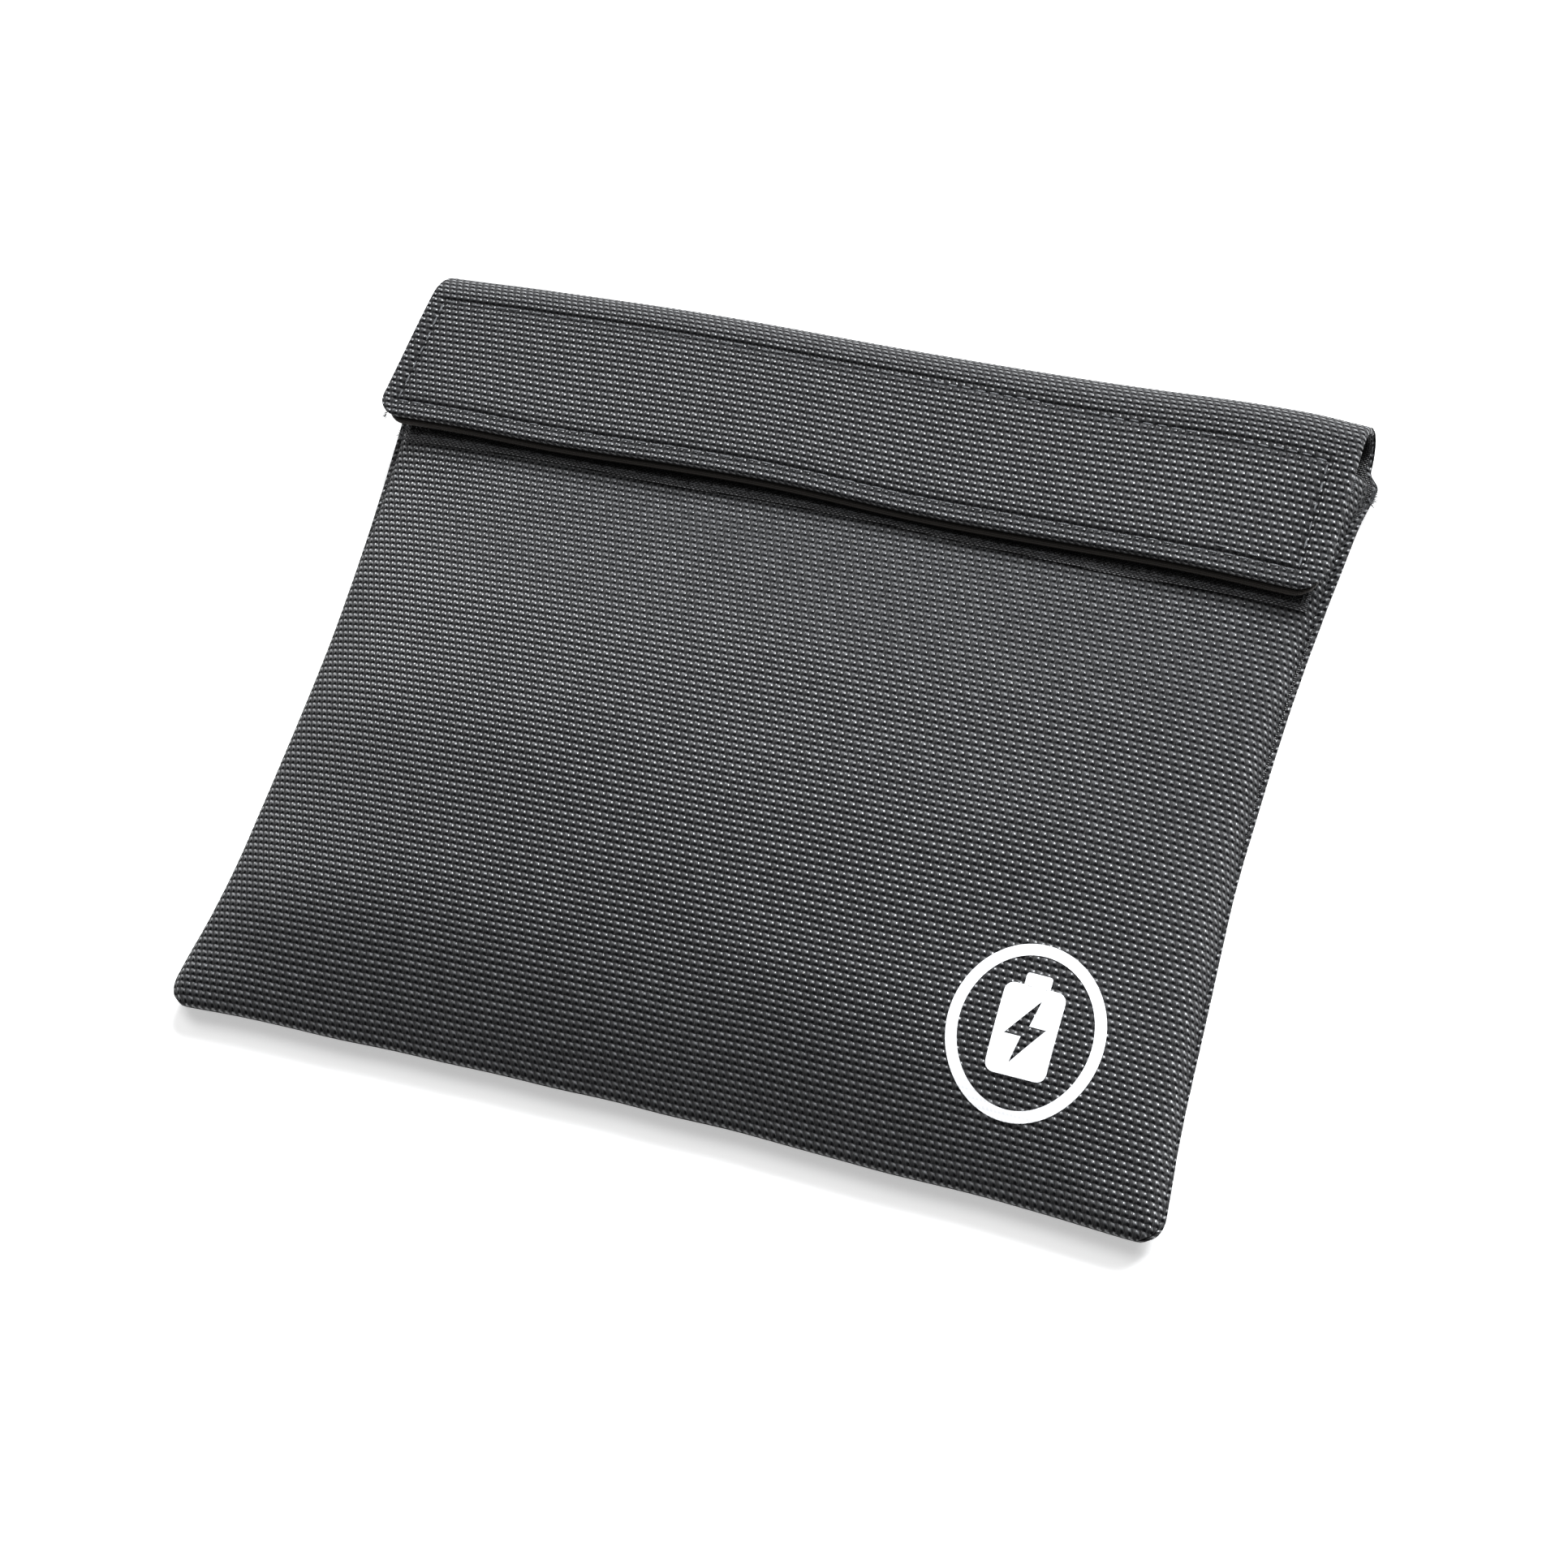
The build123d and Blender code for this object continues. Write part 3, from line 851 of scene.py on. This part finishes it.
# painted shade: a share per point by which the woven colour is darkened along the stitch grooves
grooveShade = flapCover.data.attributes.new(name="grooveShade", type="FLOAT", domain="POINT")
for index, vertex in enumerate(flapCover.data.vertices):
    grooveShade.data[index].value = grooveDepth(vertex.co.x, -vertex.co.y) / flapParts["groove"]
reshape(flapCover, flapPlace)
dress(flapCover, outerCloth)
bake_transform(flapCover)
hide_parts("flap_cover", "fold_band")

# turned-in side strips close the flap's short ends
turningParts = {"width": 8 * mm, "edge": 0.25 * mm, "depth": 0.85 * mm, "cloth": 0.6 * mm}
turningEnd = flapCut - flapParts["cornerRadius"]
turnings = []
for left, right in ((coverLow.x + turningParts["edge"], coverLow.x + turningParts["width"]),
                    (coverHigh.x - turningParts["width"], coverHigh.x - turningParts["edge"])):
    strip = flapSheet("turning", left, right, 0.0, turningEnd, 10, 36, lambda x, s: turningParts["depth"])
    turnings.append(thicken(strip, turningParts["cloth"]))
pick(*turnings)
bpy.ops.object.join()
flapTurning = reshape(named("flapTurning"), flapPlace)
dress(flapTurning, outerCloth)
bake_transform(flapTurning)
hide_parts("flap_turning")

liningParts = {
    "depthFold": 1.5 * mm, "depthFlap": 1.62 * mm, "past": 1.3 * mm, "thickness": 1.1 * mm,
    "leftInset": 2.2 * mm, "rightInset": 1.4 * mm,
}


def liningDepth(x, s):
    parts = liningParts
    share = smoothStep(s, 4 * mm, quarter + 3 * mm)
    return parts["depthFold"] + (parts["depthFlap"] - parts["depthFold"]) * share


flapLining = flapSheet(
    "flapLining", coverLow.x + liningParts["leftInset"], coverHigh.x - liningParts["rightInset"],
    0.0, flapCut + liningParts["past"], 90, 36, liningDepth, flapParts["cornerRadius"])
thicken(flapLining, liningParts["thickness"])
reshape(flapLining, flapPlace)
dress(flapLining, ribStuff)
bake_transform(flapLining)
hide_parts("flap_lining", "fold_lining")
print("flap ready")


# Repeated small shapes: one is modelled, then copied with its own mesh to each place
def scatter(name, master, placements):
    copies = []
    for matrix in placements:
        copy = master.copy()
        copy.data = master.data.copy()
        copy.data.transform(matrix)
        bpy.context.scene.collection.objects.link(copy)
        copies.append(copy)
    bpy.data.objects.remove(master)
    pick(*copies)
    bpy.ops.object.join()
    return named(name)


def matrixAt(place, forward, up, size=(1, 1, 1)):
    forward = forward.normalized()
    side = up.cross(forward).normalized()
    up = forward.cross(side)
    turn = Matrix((forward, side, up)).transposed().to_4x4()
    return Matrix.Translation(place) @ turn @ Matrix.Diagonal((*size, 1))


def oneStitch(length, width, height):
    clearSelection()
    bpy.ops.mesh.primitive_uv_sphere_add(segments=6, ring_count=5, radius=0.5)
    obj = named("stitch")
    obj.rotation_euler = (0, math.radians(90), 0)
    settle(obj)
    obj.scale = (length, width, height)
    settle(obj)
    return obj


def stitchPath(corners, pitch):
    # middles and directions of stitches along a run of corners
    run = []
    for first, second in zip(corners, corners[1:]):
        count = max(1, round((second - first).length / pitch))
        for i in range(count):
            run.append((first.lerp(second, (i + 0.5) / count), (second - first).normalized()))
    return run


def sewOn(name, size, placements, node, body="pouch"):
    # size: length, width and height of one stitch
    obj = smooth(scatter(name, oneStitch(*size), placements), 80)
    dress(obj, threadStuff, body)
    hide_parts(node)


stitchParts = {"pitch": 3.4 * mm, "size": (2.5 * mm, 0.5 * mm, 0.34 * mm), "jitter": 0.12 * mm}


def flapStitches():
    parts = stitchParts
    top = [rowLeft + (rowRight - rowLeft) * i / 6 for i in range(7)]
    corners = [Vector((x, -rowTop(x), 0)) for x in top]
    corners += [Vector((rowRight, -rowBottom, 0)), Vector((rowLeft, -rowBottom, 0)), corners[0]]
    # the end of the row is sewn over again a little beside the first stitches
    again = [Vector((rowRight - back, lift - rowBottom, 0))
             for back, lift in ((1.2 * mm, 0.9 * mm), (19 * mm, 1.3 * mm))]
    placements = []
    for place, forward in stitchPath(corners, parts["pitch"]) + stitchPath(again, parts["pitch"]):
        place = place + Vector((random.uniform(-1, 1), random.uniform(-1, 1), 0)) * parts["jitter"]
        ahead = flapPlace(place + forward * 0.5 * mm)
        behind = flapPlace(place - forward * 0.5 * mm)
        side = forward.cross(above)
        across = flapPlace(place + side * 0.5 * mm) - flapPlace(place - side * 0.5 * mm)
        up = across.cross(ahead - behind).normalized()
        if up.z < 0:
            up = -up
        spot = (ahead + behind) / 2 + up * 0.02 * mm
        stretch = random.uniform(0.85, 1.1)
        placements.append(matrixAt(spot, ahead - behind, up, (stretch, 1, 1)))
    sewOn("flapStitching", parts["size"], placements, "flap_stitching", "flap")


flapStitches()

# Loop tape sewn across the mouth: base with a fine selvage, fuzzy loops on top
loopParts = {
    "columns": 110, "rows": 26, "base": 0.42 * mm, "selvage": 1.8 * mm, "loop": 0.62 * mm, "thread": 0.11 * mm,
    "pitchX": 1.15 * mm, "pitchY": 1.0 * mm, "wave": 0.1 * mm, "waver": 0.6 * mm, "drop": 2.0 * mm,
    "edgeRow": 1.4 * mm, "stitchPitch": 3.0 * mm, "stitch": (2.3 * mm, 0.42 * mm, 0.3 * mm),
}


def tapeY(x, y):
    # the tape runs a little crooked, and lower towards the right
    parts = loopParts
    return y + softWave(x, 0, 28 * mm, parts["waver"], 5.0) - parts["drop"] * smoothStep(x, -10 * mm, 60 * mm)


def tapeRows(parts, lowY, highY, rise):
    rows, uvs = [], []
    for i in range(parts["rows"] + 1):
        y = lowY + (highY - lowY) * i / parts["rows"]
        row = []
        for share in denser(parts["columns"], 0.4):
            x = tapeLow.x + (tapeHigh.x - tapeLow.x) * share
            placeY = tapeY(x, y)
            z = frontZ(x, placeY) + rise + abs(softWave(x, y, 3 * mm, parts["wave"]))
            row.append(Vector((x, placeY, z)))
        rows.append(row)
        uvs.append([(point.x, point.y) for point in row])
    return rows, uvs


tapeGrid = tapeRows(loopParts, tapeLow.y, tapeHigh.y, 0.06 * mm + loopParts["base"])
loopBase = sheetFromRows("loopTapeBase", *tapeGrid)
thicken(loopBase, loopParts["base"])
dress(loopBase, tapeCloth, "pouch")
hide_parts("loop_tape_base")


def oneLoop(parts):
    clearSelection()
    bpy.ops.mesh.primitive_torus_add(major_segments=9, minor_segments=3, major_radius=parts["loop"],
                                     minor_radius=parts["thread"], rotation=(math.radians(90), 0, 0))
    obj = named("loop")
    settle(obj)
    bpy.ops.object.mode_set(mode="EDIT")
    bpy.ops.mesh.select_all(action="SELECT")
    bpy.ops.mesh.bisect(plane_co=(0, 0, -parts["loop"] * 0.45), plane_no=(0, 0, 1), clear_inner=True)
    bpy.ops.object.mode_set(mode="OBJECT")
    return obj


def loopPile():
    parts = loopParts
    placements = []
    low, high = tapeLow.y + parts["selvage"], tapeHigh.y - parts["selvage"]
    rows = int((high - low) / parts["pitchY"])
    columns = int((tapeHigh.x - tapeLow.x - 1.5 * mm) / parts["pitchX"])
    for r in range(rows):
        for c in range(columns):
            x = tapeLow.x + 1.2 * mm + (c + random.uniform(0, 0.9)) * parts["pitchX"]
            y = low + (r + random.uniform(0, 0.9)) * parts["pitchY"]
            y = tapeY(x, y)
            turn = Matrix.Rotation(random.uniform(0, math.pi), 4, "Z")
            lean = Matrix.Rotation(random.uniform(-0.7, 0.7), 4, "X")
            size = random.uniform(0.7, 1.15)
            spot = Vector((x, y, frontZ(x, y) + parts["base"] + 0.2 * mm))
            placements.append(Matrix.Translation(spot) @ turn @ lean @ Matrix.Scale(size, 4))
    return scatter("loopPile", oneLoop(parts), placements)


pile = loopPile()
smooth(pile, 80)
dress(pile, loopStuff, "pouch")
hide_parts("loop_pile")
print("loops ready", len(pile.data.polygons))


def surfaceStitches(name, corners, pitch, size, lift, node):
    placements = []
    for place, forward in stitchPath(corners, pitch):
        place = Vector((place.x, tapeY(place.x, place.y) + random.uniform(-0.1, 0.1) * mm, 0))
        before, after = place - forward * mm, place + forward * mm
        before.z, after.z = frontZ(before.x, before.y), frontZ(after.x, after.y)
        spot = (before + after) / 2 + above * lift
        placements.append(matrixAt(spot, after - before, above))
    sewOn(name, size, placements, node)


edgeRow = Vector((loopParts["edgeRow"], loopParts["edgeRow"], 0))
sewLow, sewHigh = tapeLow + edgeRow, tapeHigh - edgeRow
tapeCorners = [Vector((sewLow.x, sewLow.y, 0)), Vector((sewHigh.x, sewLow.y, 0)), Vector((sewHigh.x, sewHigh.y, 0)),
               Vector((sewLow.x, sewHigh.y, 0)), Vector((sewLow.x, sewLow.y, 0))]
surfaceStitches("loopTapeStitching", tapeCorners, loopParts["stitchPitch"], loopParts["stitch"],
                loopParts["base"] + 0.08 * mm, "loop_tape_stitching")
hemRow = {"inset": 2.5 * mm, "ends": 4 * mm, "pitch": 3.2 * mm, "stitch": (2.4 * mm, 0.42 * mm, 0.3 * mm)}
hemY = frontHigh.y - hemRow["inset"]
hemReach = frontHalf(hemY) - hemRow["ends"]
surfaceStitches("mouthHemStitching", [Vector((-hemReach, hemY, 0)), Vector((hemReach, hemY, 0))],
                hemRow["pitch"], hemRow["stitch"], 0.03 * mm, "mouth_hem_stitching")

# Hook tape under the flap: its base and rows of small hooks pointing down to the loops
hookParts = {
    "base": 0.42 * mm, "depth": 2.76 * mm, "pitch": 1.7 * mm, "margin": 1.4 * mm, "hook": 0.62 * mm,
    "thick": 0.16 * mm,
}
hookTop = flapCut - (hookHigh.y - coverLow.y)
hookBottom = flapCut - (hookLow.y - coverLow.y)
hookBase = flapSheet("hookBase", hookLow.x, hookHigh.x, hookTop, hookBottom, 80, 24,
                     lambda x, s: hookParts["depth"])
thicken(hookBase, hookParts["base"])


def oneHook(parts):
    # stem with a bent tip
    clearSelection()
    bpy.ops.mesh.primitive_cylinder_add(vertices=4, radius=parts["thick"], depth=parts["hook"] * 0.8,
                                        location=(0, 0, -parts["hook"] * 0.4))
    obj = named("hook")
    settle(obj)
    bpy.ops.object.mode_set(mode="EDIT")
    bpy.ops.mesh.select_mode(type="FACE")
    bpy.ops.mesh.select_all(action="DESELECT")
    bpy.ops.object.mode_set(mode="OBJECT")
    for polygon in obj.data.polygons:
        polygon.select = polygon.normal.z < -0.9
    bpy.ops.object.mode_set(mode="EDIT")
    for out, down in ((0.35, -0.2), (0.3, 0.25)):
        step = (parts["hook"] * out, 0, parts["hook"] * down)
        bpy.ops.mesh.extrude_region_move(TRANSFORM_OT_translate={"value": step})
    bpy.ops.object.mode_set(mode="OBJECT")
    return obj


def hookPile(parts):
    placements = []
    rows = int((hookBottom - hookTop - 2 * mm) / parts["pitch"])
    columns = int((hookHigh.x - hookLow.x - 2 * mm) / parts["pitch"])
    for r in range(rows):
        for c in range(columns):
            x = hookLow.x + parts["margin"] + (c + 0.5 * (r % 2)) * parts["pitch"]
            s = hookTop + parts["margin"] + r * parts["pitch"]
            turn = Matrix.Rotation(random.choice((0.5, 2.6)) + random.uniform(-0.3, 0.3), 4, "Z")
            placements.append(Matrix.Translation(Vector((x, -s, -(parts["depth"] + parts["base"])))) @ turn)
    return scatter("hooks", oneHook(parts), placements)


hooks = hookPile(hookParts)
weaveLayer(hooks)
pick(hookBase, hooks)
bpy.ops.object.join()
hookTape = reshape(named("hookTape"), flapPlace)
smooth(hookTape, 50)
dress(hookTape, hookStuff, "flap")
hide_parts("hook_tape")
print("tapes ready")


# Seam threads run inside the seams
seamParts = {
    "bottomInset": 4.4 * mm, "cornerGap": 6 * mm, "sideInset": 3.6 * mm, "points": 12, "pitch": 3.2 * mm,
    "lift": 0.35 * mm, "stitch": (2.4 * mm, 0.45 * mm, 0.4 * mm),
}


def seamThread(side):
    parts = seamParts
    gap = parts["cornerGap"]
    if side == "bottom":
        y = frontLow.y + parts["bottomInset"]
        reach = frontHalf(y) - gap
        corners = [Vector((-reach, y, 0)), Vector((reach, y, 0))]
    else:
        sign = 1 if side == "right" else -1
        steps = parts["points"] - 1
        levels = [frontLow.y + gap + (frontHigh.y - frontLow.y - 2 * gap) * i / steps for i in range(steps + 1)]
        corners = [Vector((sign * (frontHalf(y) - parts["sideInset"]), y, 0)) for y in levels]
    lift = above * (seamHeight + parts["lift"])
    placements = [matrixAt(place + lift, forward, above)
                  for place, forward in stitchPath(corners, parts["pitch"])]
    sewOn(side + "SeamThread", parts["stitch"], placements, side + "_seam_thread")


for side in ("left", "right", "bottom"):
    seamThread(side)

# Bar tacks close the seam ends at the mouth
tackParts = {
    "count": 9, "start": 4.5 * mm, "pitch": 0.45 * mm, "inset": 2.2 * mm,
    "stitch": (2.6 * mm, 0.42 * mm, 0.36 * mm),
}


def seamTacks():
    parts = tackParts
    placements = []
    for sign in (-1, 1):
        for i in range(parts["count"]):
            y = frontHigh.y - parts["start"] + parts["pitch"] * i
            x = sign * (frontHalf(y) - parts["inset"])
            spot = Vector((x, y, frontZ(x, y) + 0.05 * mm))
            placements.append(matrixAt(spot, Vector((1, 0, 0.05 * (i % 2))), above))
    sewOn("seamEndTacks", parts["stitch"], placements, "seam_end_tacks")


seamTacks()
print("thread ready")


# White print: oval ring round a battery with a bolt cut out of it
badgeParts = {
    "ring": 2.4 * mm, "batteryWidth": 13 * mm, "batteryHeight": 19 * mm, "corner": 2 * mm, "capWidth": 5.5 * mm,
    "capHeight": 3 * mm, "capCorner": 0.6 * mm, "capPlace": 10.65 * mm, "film": 0.16 * mm, "step": 1.1 * mm,
    "bolt": ((1.8, 7), (-4.2, -1.2), (-0.6, -1.2), (-1.8, -7), (4.2, 1.2), (0.6, 1.2)),
}
badgeMiddle = Vector(((badgeLow.x + badgeHigh.x) / 2, (badgeLow.y + badgeHigh.y) / 2, 0))


def flatShape(name, corners, height=4 * mm):
    clearSelection()
    bpy.ops.mesh.primitive_circle_add(vertices=len(corners), fill_type="NGON", radius=1)
    obj = named(name)
    for vertex, (x, y) in zip(obj.data.vertices, corners):
        vertex.co = (x, y, -height / 2)
    bpy.ops.object.mode_set(mode="EDIT")
    bpy.ops.mesh.select_all(action="SELECT")
    bpy.ops.mesh.extrude_region_move(TRANSFORM_OT_translate={"value": (0, 0, height)})
    bpy.ops.mesh.select_all(action="SELECT")
    bpy.ops.mesh.normals_make_consistent(inside=False)
    bpy.ops.object.mode_set(mode="OBJECT")
    return obj


def ovalCorners(halfWidth, halfHeight, count=72):
    return [(halfWidth * math.cos(2 * math.pi * i / count), halfHeight * math.sin(2 * math.pi * i / count))
            for i in range(count)]


def roundedCorners(width, height, radius, steps=5):
    corners = []
    for quarterTurn, (sx, sy) in enumerate(((1, 1), (-1, 1), (-1, -1), (1, -1))):
        for i in range(steps + 1):
            angle = math.pi / 2 * (quarterTurn + i / steps)
            corners.append((sx * (width / 2 - radius) + radius * math.cos(angle),
                            sy * (height / 2 - radius) + radius * math.sin(angle)))
    return corners


def cutAway(obj, tool):
    applyModifier(obj, "BOOLEAN", operation="DIFFERENCE", object=tool, solver="EXACT")
    bpy.data.objects.remove(tool)
    return obj


def printBadge():
    parts = badgeParts
    halfWidth, halfHeight = (badgeHigh.x - badgeLow.x) / 2, (badgeHigh.y - badgeLow.y) / 2
    line = parts["ring"]
    ring = cutAway(flatShape("ring", ovalCorners(halfWidth, halfHeight)),
                   flatShape("hole", ovalCorners(halfWidth - line, halfHeight - line), 8 * mm))
    case = roundedCorners(parts["batteryWidth"], parts["batteryHeight"], parts["corner"])
    bolt = [(x * mm, y * mm) for x, y in reversed(parts["bolt"])]
    battery = flatShape("battery", case)
    battery = cutAway(battery, flatShape("bolt", bolt, 8 * mm))
    cap = flatShape("cap", roundedCorners(parts["capWidth"], parts["capHeight"], parts["capCorner"]))
    cap.location = (0, parts["capPlace"], 0)
    settle(cap)
    pick(ring, battery, cap)
    bpy.ops.object.join()
    obj = named("badgePrint")
    bpy.ops.object.mode_set(mode="EDIT")
    for axis, reach in ((0, halfWidth), (1, halfHeight)):
        place = -reach + parts["step"]
        while place < reach:
            point, normal = Vector(), Vector()
            point[axis], normal[axis] = place, 1
            bpy.ops.mesh.select_all(action="SELECT")
            bpy.ops.mesh.bisect(plane_co=point, plane_no=normal)
            place += parts["step"]
    bpy.ops.object.mode_set(mode="OBJECT")
    for vertex in obj.data.vertices:
        x, y = vertex.co.x + badgeMiddle.x, vertex.co.y + badgeMiddle.y
        lift = parts["film"] if vertex.co.z > 0 else -0.3 * mm
        vertex.co = (x, y, frontZ(x, y) + lift)
    layer = weaveLayer(obj)
    for loop in obj.data.loops:
        co = obj.data.vertices[loop.vertex_index].co
        layer.data[loop.index].uv = (co.x, co.y)
    return obj


badge = printBadge()
smooth(badge, 30)
dress(badge, printFilm, "pouch")
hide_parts("badge_print")
print("print ready")


# Frayed ends: short bent strands at the cut ends of the tape, the back panel and the flap's corner
def oneStrand():
    clearSelection()
    bpy.ops.mesh.primitive_cone_add(vertices=4, radius1=0.09, radius2=0.03, depth=1, location=(0, 0, 0.5))
    obj = named("strand")
    settle(obj)
    bpy.ops.object.mode_set(mode="EDIT")
    for height in (0.25, 0.5, 0.75):
        bpy.ops.mesh.select_all(action="SELECT")
        bpy.ops.mesh.bisect(plane_co=(0, 0, height), plane_no=(0, 0, 1))
    bpy.ops.object.mode_set(mode="OBJECT")
    return reshape(obj, lambda co: Vector((co.x + 0.35 * co.z * co.z, co.y, co.z)))


frayParts = {
    "thick": 1.1 * mm, "tapeLength": 1.7 * mm, "tapeSpread": 4.5 * mm, "tapeLift": 0.35 * mm, "inset": 0.4 * mm,
    "panelLength": 1.6 * mm, "panelInset": 0.3 * mm, "panelPlace": 7 * mm, "panelHeight": 2.6 * mm,
    "flapLength": 1.3 * mm,
}


def fray(name, length, spots, body="pouch"):
    # spots: place, outward direction, count, spread along y
    thick = frayParts["thick"]
    placements = []
    for place, outward, count, spread in spots:
        for _ in range(count):
            spot = place + Vector((random.uniform(-0.3, 0.3) * mm, random.uniform(-spread, spread),
                                   random.uniform(-0.2, 0.3) * mm))
            lean = Vector((random.gauss(0, 0.35), random.gauss(0, 0.5), random.gauss(0.1, 0.3)))
            turn = (Vector(outward) + lean).normalized().to_track_quat("Z", "X").to_matrix().to_4x4()
            twist = Matrix.Rotation(random.uniform(0, 6.28), 4, "Z")
            size = Matrix.Diagonal((thick, thick, length * random.uniform(0.4, 1.2), 1))
            placements.append(Matrix.Translation(spot) @ turn @ twist @ size)
    obj = smooth(scatter(name, oneStrand(), placements), 80)
    dress(obj, threadStuff, body)


def frayEnds():
    parts = frayParts
    spread, inset = parts["tapeSpread"], parts["inset"]
    middle = tapeLow.y + spread
    top = frontZ(tapeLow.x + mm, middle) + parts["tapeLift"]
    left, right = Vector((tapeLow.x + inset, middle, top)), Vector((tapeHigh.x - inset, middle, top))
    fray("tapeFray", parts["tapeLength"], [(left, (-1, 0, 0), 46, spread), (right, (1, -0.2, 0), 40, spread)])
    y, z = foldCentre - parts["panelPlace"], parts["panelHeight"]
    x = backHalf(y) - parts["panelInset"]
    fray("panelFray", parts["panelLength"], [(Vector((x, y, z)), (1, 0, 0.2), 34, 1.8 * mm),
                                             (Vector((-x, y, z)), (-1, 0, 0.2), 16, 1.5 * mm)])
    corner = flapPlace(Vector((coverLow.x + 3 * mm, inset - flapCut, -1.3 * mm)))
    fray("flapFray", parts["flapLength"], [(corner, (-0.3, -1, 0), 14, 0.8 * mm)], "flap")


frayEnds()
lintParts = {"count": 26, "thick": 0.5 * mm, "lift": 0.12 * mm, "lean": 82}


def lintSpecks():
    parts = lintParts
    placements = []
    for _ in range(parts["count"]):
        x, y = random.uniform(-95, 95) * mm, random.uniform(-80, 45) * mm
        lean = Matrix.Rotation(math.radians(parts["lean"]), 4, "Y")
        turn = Matrix.Rotation(random.uniform(0, 6.28), 4, "Z") @ lean
        size = Matrix.Diagonal((parts["thick"], parts["thick"], random.uniform(0.25, 0.6) * mm, 1))
        placements.append(Matrix.Translation(Vector((x, y, frontZ(x, y) + parts["lift"]))) @ turn @ size)
    return scatter("lint", oneStrand(), placements)


dress(lintSpecks(), lintStuff, "pouch")
print("fraying and lint ready")


# Camera, floor and light
viewParts = {
    "place": (0.30091, -0.24011, 0.73844), "turn": (21.981, 15.832, 18.152), "lens": 87.03,
    "floorSize": 6.0, "floorHeight": -1.4 * mm,
}
lightParts = {
    "keyPlace": (0.62, 1.82, 1.42), "keySize": (1.8, 1.0), "keyPower": 158, "keyColour": (0.97, 0.985, 1.0),
    "topPlace": (-0.3, 0.5, 1.4), "topSize": (0.8, 0.8), "topPower": 9, "floorGlow": 0.42, "air": 0.16,
}
cameraData = bpy.data.cameras.new("camera")
camera = bpy.data.objects.new("camera", cameraData)
bpy.context.scene.collection.objects.link(camera)
camera.location = viewParts["place"]
camera.rotation_euler = [math.radians(value) for value in viewParts["turn"]]
cameraData.lens = viewParts["lens"]
cameraData.sensor_width = 36
cameraData.clip_start = 0.01
bpy.context.scene.camera = camera

clearSelection()
bpy.ops.mesh.primitive_plane_add(size=viewParts["floorSize"], location=(0, 0, viewParts["floorHeight"]))
floor = named("floor")
settle(floor)
floorPaint, floorTree, floorShader = newMaterial("pale floor")
haze = floorTree.make("ShaderNodeTexNoise", None, {"Scale": 3.0})
connect(floorTree, floorShader, Base_Color=blendColour(floorTree, haze, (0.93, 0.93, 0.93), (0.95, 0.95, 0.95)))
setSockets(floorShader, {"Roughness": 0.9, "Specular IOR Level": 0.0, "Emission Color": (1, 1, 1, 1),
                         "Emission Strength": lightParts["floorGlow"]})
floor.data.materials.append(floorPaint)

world = bpy.data.worlds.new("studio")
bpy.context.scene.world = world
world.use_nodes = True
setSockets(world.node_tree.nodes["Background"], {"Color": (1, 1, 1, 1), "Strength": lightParts["air"]})
bpy.context.scene.view_settings.view_transform = "Standard"


def softLight(name, place, size, power, colour=(1, 1, 1)):
    # a rectangle of light turned towards the pouch
    data = bpy.data.lights.new(name, "AREA")
    data.shape = "RECTANGLE"
    data.size, data.size_y = size
    data.energy = power
    data.color = colour
    light = bpy.data.objects.new(name, data)
    bpy.context.scene.collection.objects.link(light)
    light.location = place
    light.rotation_euler = (-Vector(place)).to_track_quat("-Z", "Y").to_euler()


softLight("keyLight", lightParts["keyPlace"], lightParts["keySize"], lightParts["keyPower"],
          lightParts["keyColour"])
softLight("topLight", lightParts["topPlace"], lightParts["topSize"], lightParts["topPower"])
